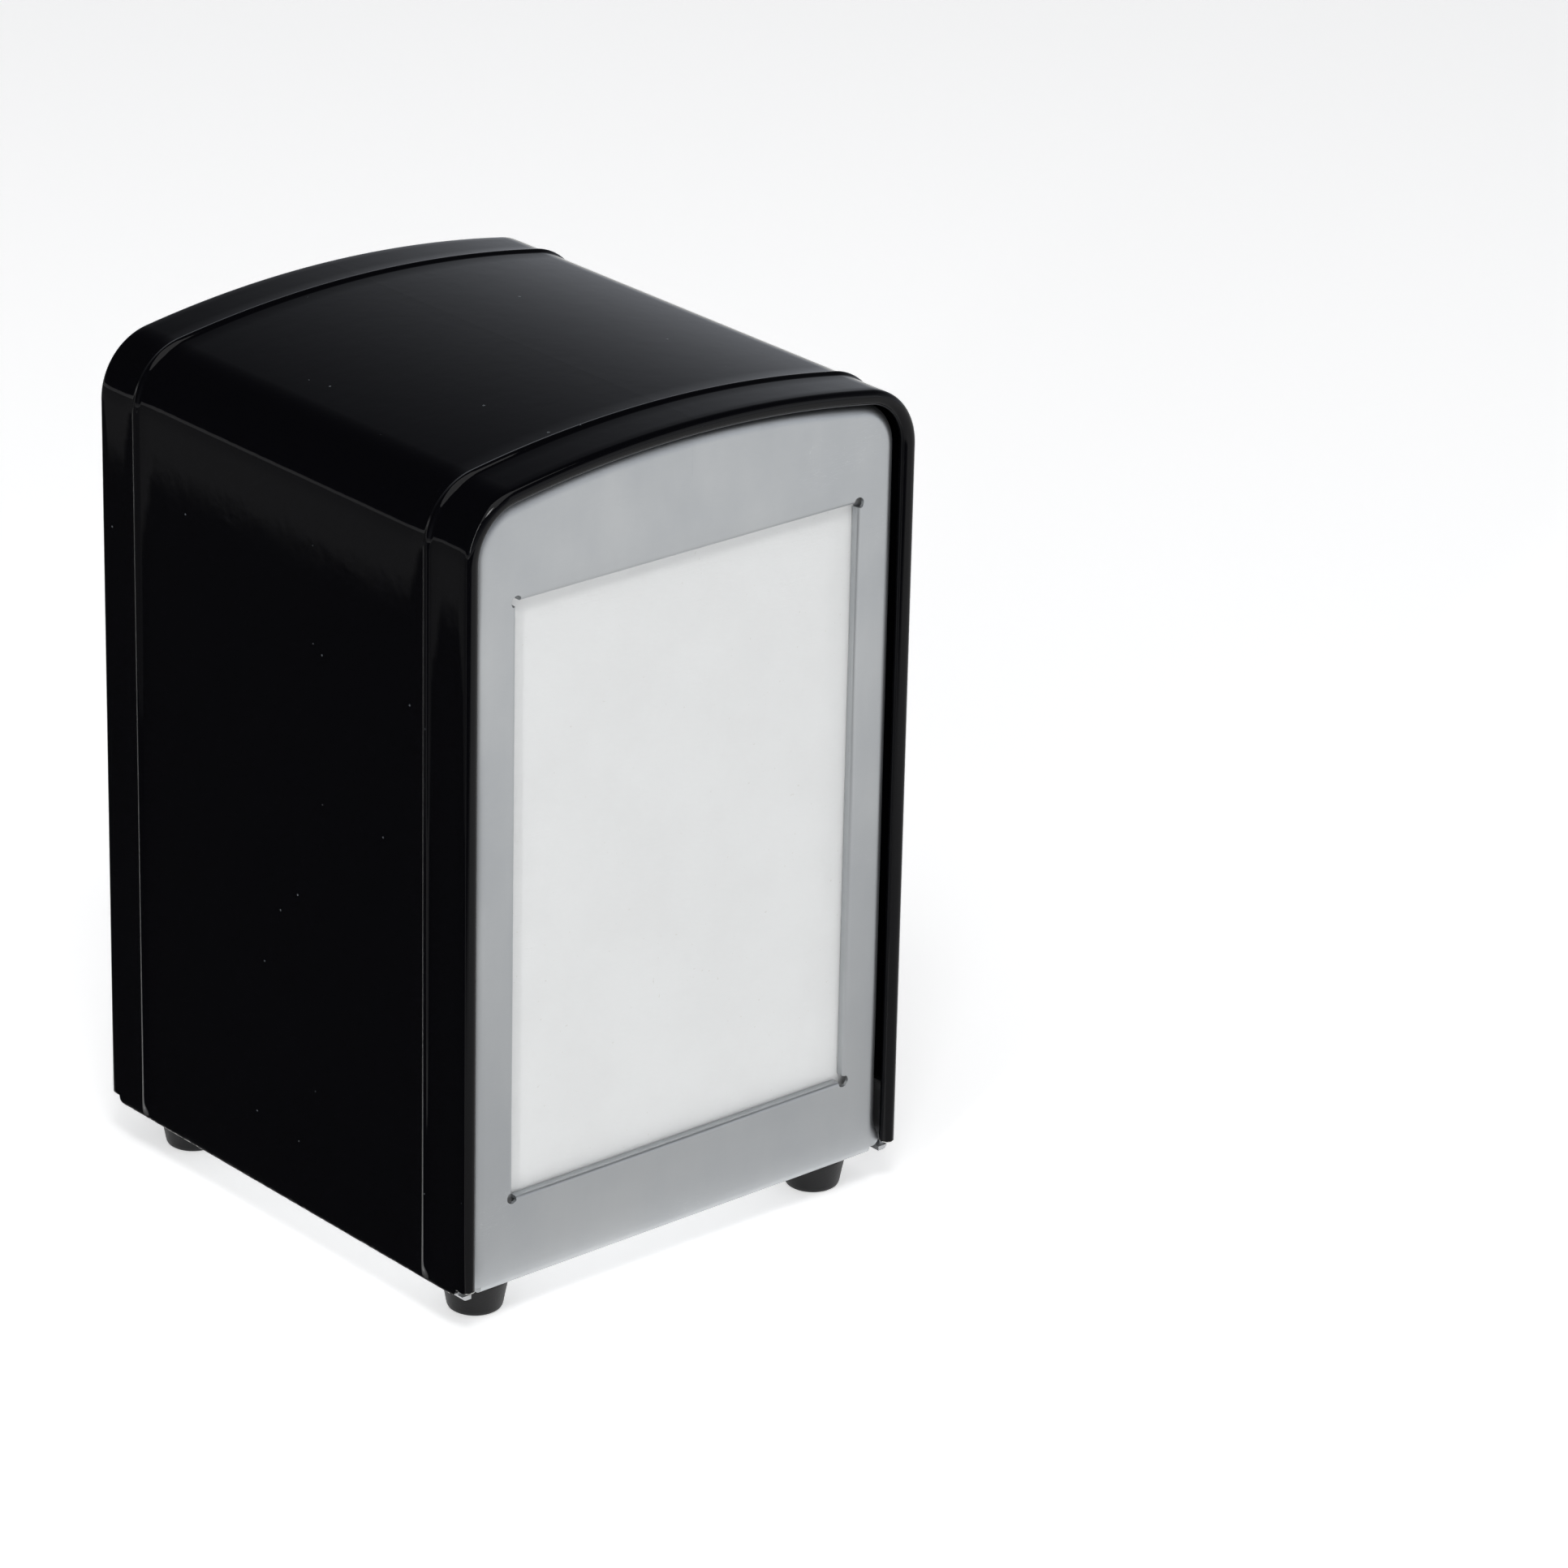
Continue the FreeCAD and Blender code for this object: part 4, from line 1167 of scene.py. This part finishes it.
@dataclass
class PusherSpring:
    """The conical spring between the divider and a pusher."""

    finishes: Finishes
    end: End
    low: float = -12.45
    high: float = -0.95
    height: float = 72.5
    small: float = 14.0
    large: float = 24.0
    wire: float = 0.5
    flat: float = 0.6
    turns: float = 4.0
    steps: int = 40
    sides: int = 10

    def path(self) -> list[Vector]:
        """Return the middle of the wire, from the pusher to the divider."""
        points = []
        for step in range(int((self.turns + 2 * self.flat) * self.steps) + 1):
            spot = step / self.steps
            share = min(max((spot - self.flat) / self.turns, 0.0), 1.0)
            radius = self.small + share * (self.large - self.small)
            angle = 2 * math.pi * spot
            points.append(Vector((radius * math.cos(angle),
                                  self.low + share * (self.high - self.low),
                                  self.height + radius * math.sin(angle))))
        return points

    @staticmethod
    def loop(ring: list[Vert]) -> list[Edge]:
        """Return the edges between the vertices of one ring."""
        return list({edge for vert in ring for edge in vert.link_edges
                     if edge.other_vert(vert) in ring})

    def build(self) -> None:
        """Build the spring, dress it and stretch it between divider and pusher."""
        name = self.end.value
        blank = Blank()
        path = self.path()
        rings = []
        for index, point in enumerate(path):
            ahead = path[min(index + 1, len(path) - 1)] - path[max(index - 1, 0)]
            radial = Vector((point.x, 0, point.z - self.height)).normalized()
            ahead.normalize()
            side = ahead.cross(radial).normalized()
            turn = Matrix((radial, side, ahead)).transposed().to_4x4()
            made = bmesh.ops.create_circle(blank.bm, segments=self.sides, radius=self.wire,
                                           matrix=Matrix.Translation(point) @ turn)
            rings.append(made["verts"])
        for first, second in zip(rings, rings[1:]):
            bmesh.ops.bridge_loops(blank.bm, edges=self.loop(first) + self.loop(second))
        for ring in (rings[0], rings[-1]):
            bmesh.ops.contextual_create(blank.bm, geom=self.loop(ring))
        bmesh.ops.recalc_face_normals(blank.bm, faces=blank.bm.faces[:])
        blank.bm.verts.index_update()
        owner = {vert.index: ring for ring, verts in enumerate(rings) for vert in verts}
        item = hang(blank.piece(f"{name}_spring_wire", self.end), "", "spring_steel",
                    self.finishes, f"{name}_pusher_spring")
        start, stop = self.end.sign * self.high * MM, self.end.sign * self.low * MM
        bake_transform(item, "cabinet", f"{name}_pusher", (0, start, 0), (0, stop, 0))
        share = item.data.attributes["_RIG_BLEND"]
        for index, point in enumerate(share.data):
            middle = path[owner[index]].y
            point.value = (middle - self.high) / (self.low - self.high)


@dataclass
class Feet:
    """The four moulded rubber feet."""

    finishes: Finishes
    across: float = 37.3
    along: float = 39.6
    bottom_radius: float = 4.7
    top_radius: float = 5.8
    shoulder: float = 6.1
    neck_radius: float = 4.6
    top: float = 7.0
    recess_radius: float = 2.9
    recess: float = 3.2
    bore: float = 1.55
    segments: int = 56

    def profile(self) -> list[tuple[float, float]]:
        """Return the turned section as radius and height, from the bore's foot outwards."""
        return [
            (self.bore, self.recess), (self.recess_radius - 0.2, self.recess),
            (self.recess_radius, self.recess - 0.2), (self.recess_radius, 0.35),
            (self.recess_radius + 0.12, 0.10), (self.recess_radius + 0.35, 0.0),
            (self.bottom_radius - 0.85, 0.0), (self.bottom_radius - 0.45, 0.07),
            (self.bottom_radius - 0.13, 0.30), (self.bottom_radius + 0.05, 0.65),
            (self.bottom_radius + 0.15, 1.10), (self.bottom_radius + 0.50, 3.0),
            (self.top_radius - 0.15, self.shoulder - 0.9),
            (self.top_radius - 0.03, self.shoulder - 0.35),
            (self.top_radius - 0.12, self.shoulder - 0.08),
            (self.top_radius - 0.40, self.shoulder),
            (self.neck_radius + 0.15, self.shoulder), (self.neck_radius, self.shoulder + 0.15),
            (self.neck_radius, self.top), (self.bore, self.top),
        ]

    def build(self) -> None:
        """Build the feet and dress them."""
        for name, side, way in (("front_left", -1, -1), ("front_right", 1, -1),
                                ("rear_left", -1, 1), ("rear_right", 1, 1)):
            blank = Blank()
            points = self.profile()
            edges = blank.chain((radius, 0, height) for radius, height in points)
            edges.append(blank.bm.edges.new((edges[-1].verts[1], edges[0].verts[0])))
            bmesh.ops.spin(blank.bm, geom=edges, cent=(0, 0, 0), axis=AXIS_Z, dvec=(0, 0, 0),
                           angle=2 * math.pi, steps=self.segments, use_merge=True,
                           use_normal_flip=False, use_duplicate=False)
            blank.merge(0.001)
            bmesh.ops.recalc_face_normals(blank.bm, faces=blank.bm.faces[:])
            bmesh.ops.translate(blank.bm, verts=blank.bm.verts[:],
                                vec=(side * self.across, way * self.along, 0))
            hang(blank.piece(f"rubber_foot_{name}", crease=50), "cabinet", "foot_rubber",
                 self.finishes, f"foot_{name}")


@dataclass
class Inside:
    """The engineering pieces whose shapes are kept and only dressed."""

    finishes: Finishes

    def dress(self) -> None:
        """Give each kept piece the finish of its slot."""
        slots = {
            "base_plate": "zinc_steel", "floor_channel": "zinc_steel",
            "centre_divider": "zinc_steel", "divider_rivets": "rivet_steel",
            "foot_washers": "rivet_steel", "foot_rivets": "rivet_steel",
        }
        for end in End:
            slots.update({
                f"{end.value}_hinge_wire": "spring_steel",
                f"{end.value}_latch_clip": "spring_steel",
                f"{end.value}_spring_clips": "spring_steel",
                f"{end.value}_pusher_plate": "pusher_steel",
                f"{end.value}_spring_seat": "zinc_steel",
            })
        for name, slot in slots.items():
            node = frame["nodes"][name]
            if not node.material_slots:
                node.data.materials.append(self.finishes[slot])
            for holder in node.material_slots:
                holder.material = self.finishes[slot]
            log.info("%s: dressed as %s", name, slot)


# ------------------------------------------------------------------ the studio


@dataclass
class Studio:
    """A pale floor, cards that show only in reflections, soft lights and the camera."""

    floor_size: float = 9.0
    floor_colour: Colour = (0.88, 0.88, 0.88)
    floor_glow: float = 0.56
    room_dim: Colour = (0.02, 0.02, 0.024)
    room_bright: Colour = (0.88, 0.92, 1.0)
    backdrop: Colour = (0.94, 0.94, 0.94)
    side_glow: float = 0.72
    front_glow: float = 0.5
    lens: float = 161.9915
    eye: tuple[float, float, float] = (-0.692590, -0.862899, 0.544181)
    ahead: tuple[float, float, float] = (0.60618, 0.69186, -0.39228)
    upward: tuple[float, float, float] = (0.24091, 0.31032, 0.91960)

    def plane(self, name: str, size: tuple[float, float], centre: Sequence[float],
              material: Material) -> Item:
        """Lay a level plane that isn't part of the object."""
        bm = bmesh.new()
        bmesh.ops.create_grid(bm, x_segments=1, y_segments=1, size=0.5)
        bmesh.ops.scale(bm, verts=bm.verts[:], vec=(size[0], size[1], 1))
        bmesh.ops.translate(bm, verts=bm.verts[:], vec=centre)
        mesh = bpy.data.meshes.new(name)
        bm.to_mesh(mesh)
        bm.free()
        item = bpy.data.objects.new(name, mesh)
        bpy.context.scene.collection.objects.link(item)
        item.data.materials.append(material)
        return item

    def floor(self) -> None:
        """Lay the floor."""
        material, _, shader = new_material("studio_floor")
        shader.inputs["Base Color"].default_value = (*self.floor_colour, 1)
        shader.inputs["Roughness"].default_value = 0.9
        shader.inputs["Emission Color"].default_value = (1, 1, 1, 1)
        shader.inputs["Emission Strength"].default_value = self.floor_glow
        self.plane("studio_floor", (self.floor_size, self.floor_size), (0, 0, 0), material)

    def card(self, name: str, size: tuple[float, float], centre: Sequence[float], axis: str,
             span: tuple[float, float], levels: tuple[float, float]) -> None:
        """Lay a card that is seen only in reflections.

        Args:
            name: The card's name.
            size: Its width and depth.
            centre: The place of its middle.
            axis: The direction in which its brightness changes.
            span: Where the change starts and ends.
            levels: The brightness at each end of the span.
        """
        material, net, shader = new_material(name)
        axes = net.add("SeparateXYZ", {"Vector": net.place()})
        glow = net.remap(axes.outputs[axis], *span, *levels)
        shader.inputs["Base Color"].default_value = (0, 0, 0, 1)
        shader.inputs["Specular IOR Level"].default_value = 0.0
        shader.inputs["Emission Strength"].default_value = 1.0
        shade = net.add("CombineColor", {"Red": glow, "Green": glow, "Blue": glow})
        feed(net, shader, Emission_Color=shade.outputs["Color"])
        card = self.plane(name, size, centre, material)
        card.visible_camera = False
        card.visible_diffuse = False
        card.visible_shadow = False
        card.visible_transmission = False

    def light(self, name: str, place: Sequence[float], size: tuple[float, float], watts: float,
              colour: Colour = (1, 1, 1), aim: Sequence[float] = (0, 0, 0.07)) -> None:
        """Hang a rectangular soft light that looks at a point."""
        lamp = bpy.data.lights.new(name, "AREA")
        lamp.shape = "RECTANGLE"
        lamp.size, lamp.size_y = size
        lamp.energy = watts
        lamp.color = colour
        item = bpy.data.objects.new(name, lamp)
        item.location = place
        item.rotation_euler = (Vector(aim) - Vector(place)).to_track_quat("-Z", "Y").to_euler()
        bpy.context.scene.collection.objects.link(item)

    def sky(self) -> None:
        """Make the room: pale to the eye, and in reflections bright low on the right and ahead."""
        world = bpy.data.worlds.new("studio_room")
        bpy.context.scene.world = world
        world.use_nodes = True
        net = Net(world.node_tree)
        axes = net.add("SeparateXYZ", {"Vector": net.add("TexCoord").outputs["Generated"]})
        level = net.math("POWER", net.math("SUBTRACT", 1.0, axes.outputs["Z"], clamp=True), 2.8)
        way = net.weighted((axes.outputs["X"], 0.9), (axes.outputs["Y"], 0.25))
        glow = net.math("MULTIPLY", level, net.remap(way, 0.12, 0.72))
        ahead = net.math("MULTIPLY", net.remap(axes.outputs["Y"], 0.1, -0.5), level)
        amount = net.weighted((glow, self.side_glow), (ahead, self.front_glow))
        seen = net.add("LightPath").outputs["Is Camera Ray"]
        colour = net.mix(seen, net.mix(amount, self.room_dim, self.room_bright), self.backdrop)
        back = net.add("Background", {"Color": colour, "Strength": 1.0})
        net.add("OutputWorld", {"Surface": back.outputs["Background"]})

    def camera(self) -> None:
        """Set the camera."""
        lens = bpy.data.cameras.new("camera")
        lens.lens = self.lens
        lens.sensor_width = 36.0
        item = bpy.data.objects.new("camera", lens)
        ahead = Vector(self.ahead).normalized()
        right = ahead.cross(Vector(self.upward)).normalized()
        place = Matrix((right, right.cross(ahead), -ahead)).transposed().to_4x4()
        place.translation = self.eye
        item.matrix_world = place
        bpy.context.scene.collection.objects.link(item)
        bpy.context.scene.camera = item

    def build(self) -> None:
        """Build the studio."""
        self.floor()
        self.card("side_card", (1.25, 1.4), (-0.6817, 0.645, 0.0004), "X",
                  (-0.240, -0.256), (0.03, 0.20))
        self.card("front_card", (2.2, 1.4), (0.35, -0.76, 0.0004), "Y",
                  (-0.30, -0.06), (0.98, 0.66))
        self.card("corner_card", (1.0, 1.3), (-0.62, -0.73, 0.0008), "X",
                  (-0.125, -0.22), (0.66, 0.03))
        self.sky()
        self.light("overhead", (-0.25, -0.35, 1.5), (1.5, 1.5), 10.5)
        self.light("key", (-0.53, -0.69, 1.27), (0.32, 0.32), 5.0)
        self.light("side_strip", (-1.45, -0.75, 0.75), (0.05, 1.3), 5.5)
        self.light("front_fill", (1.1, -1.5, 0.7), (1.0, 1.0), 1.6)
        self.camera()
        bpy.context.scene.view_settings.view_transform = "Standard"


def main() -> None:
    """Build every piece in order."""
    logging.basicConfig(level=logging.INFO, format="%(name)s: %(message)s")
    finishes = Finishes()
    Inside(finishes).dress()
    Housing(finishes).build()
    Feet(finishes).build()
    for end in End:
        Faceplate(finishes, end).build()
        NapkinStack(finishes, end).build()
        PusherSpring(finishes, end).build()
    Studio().build()


if __name__ == "__main__":
    main()
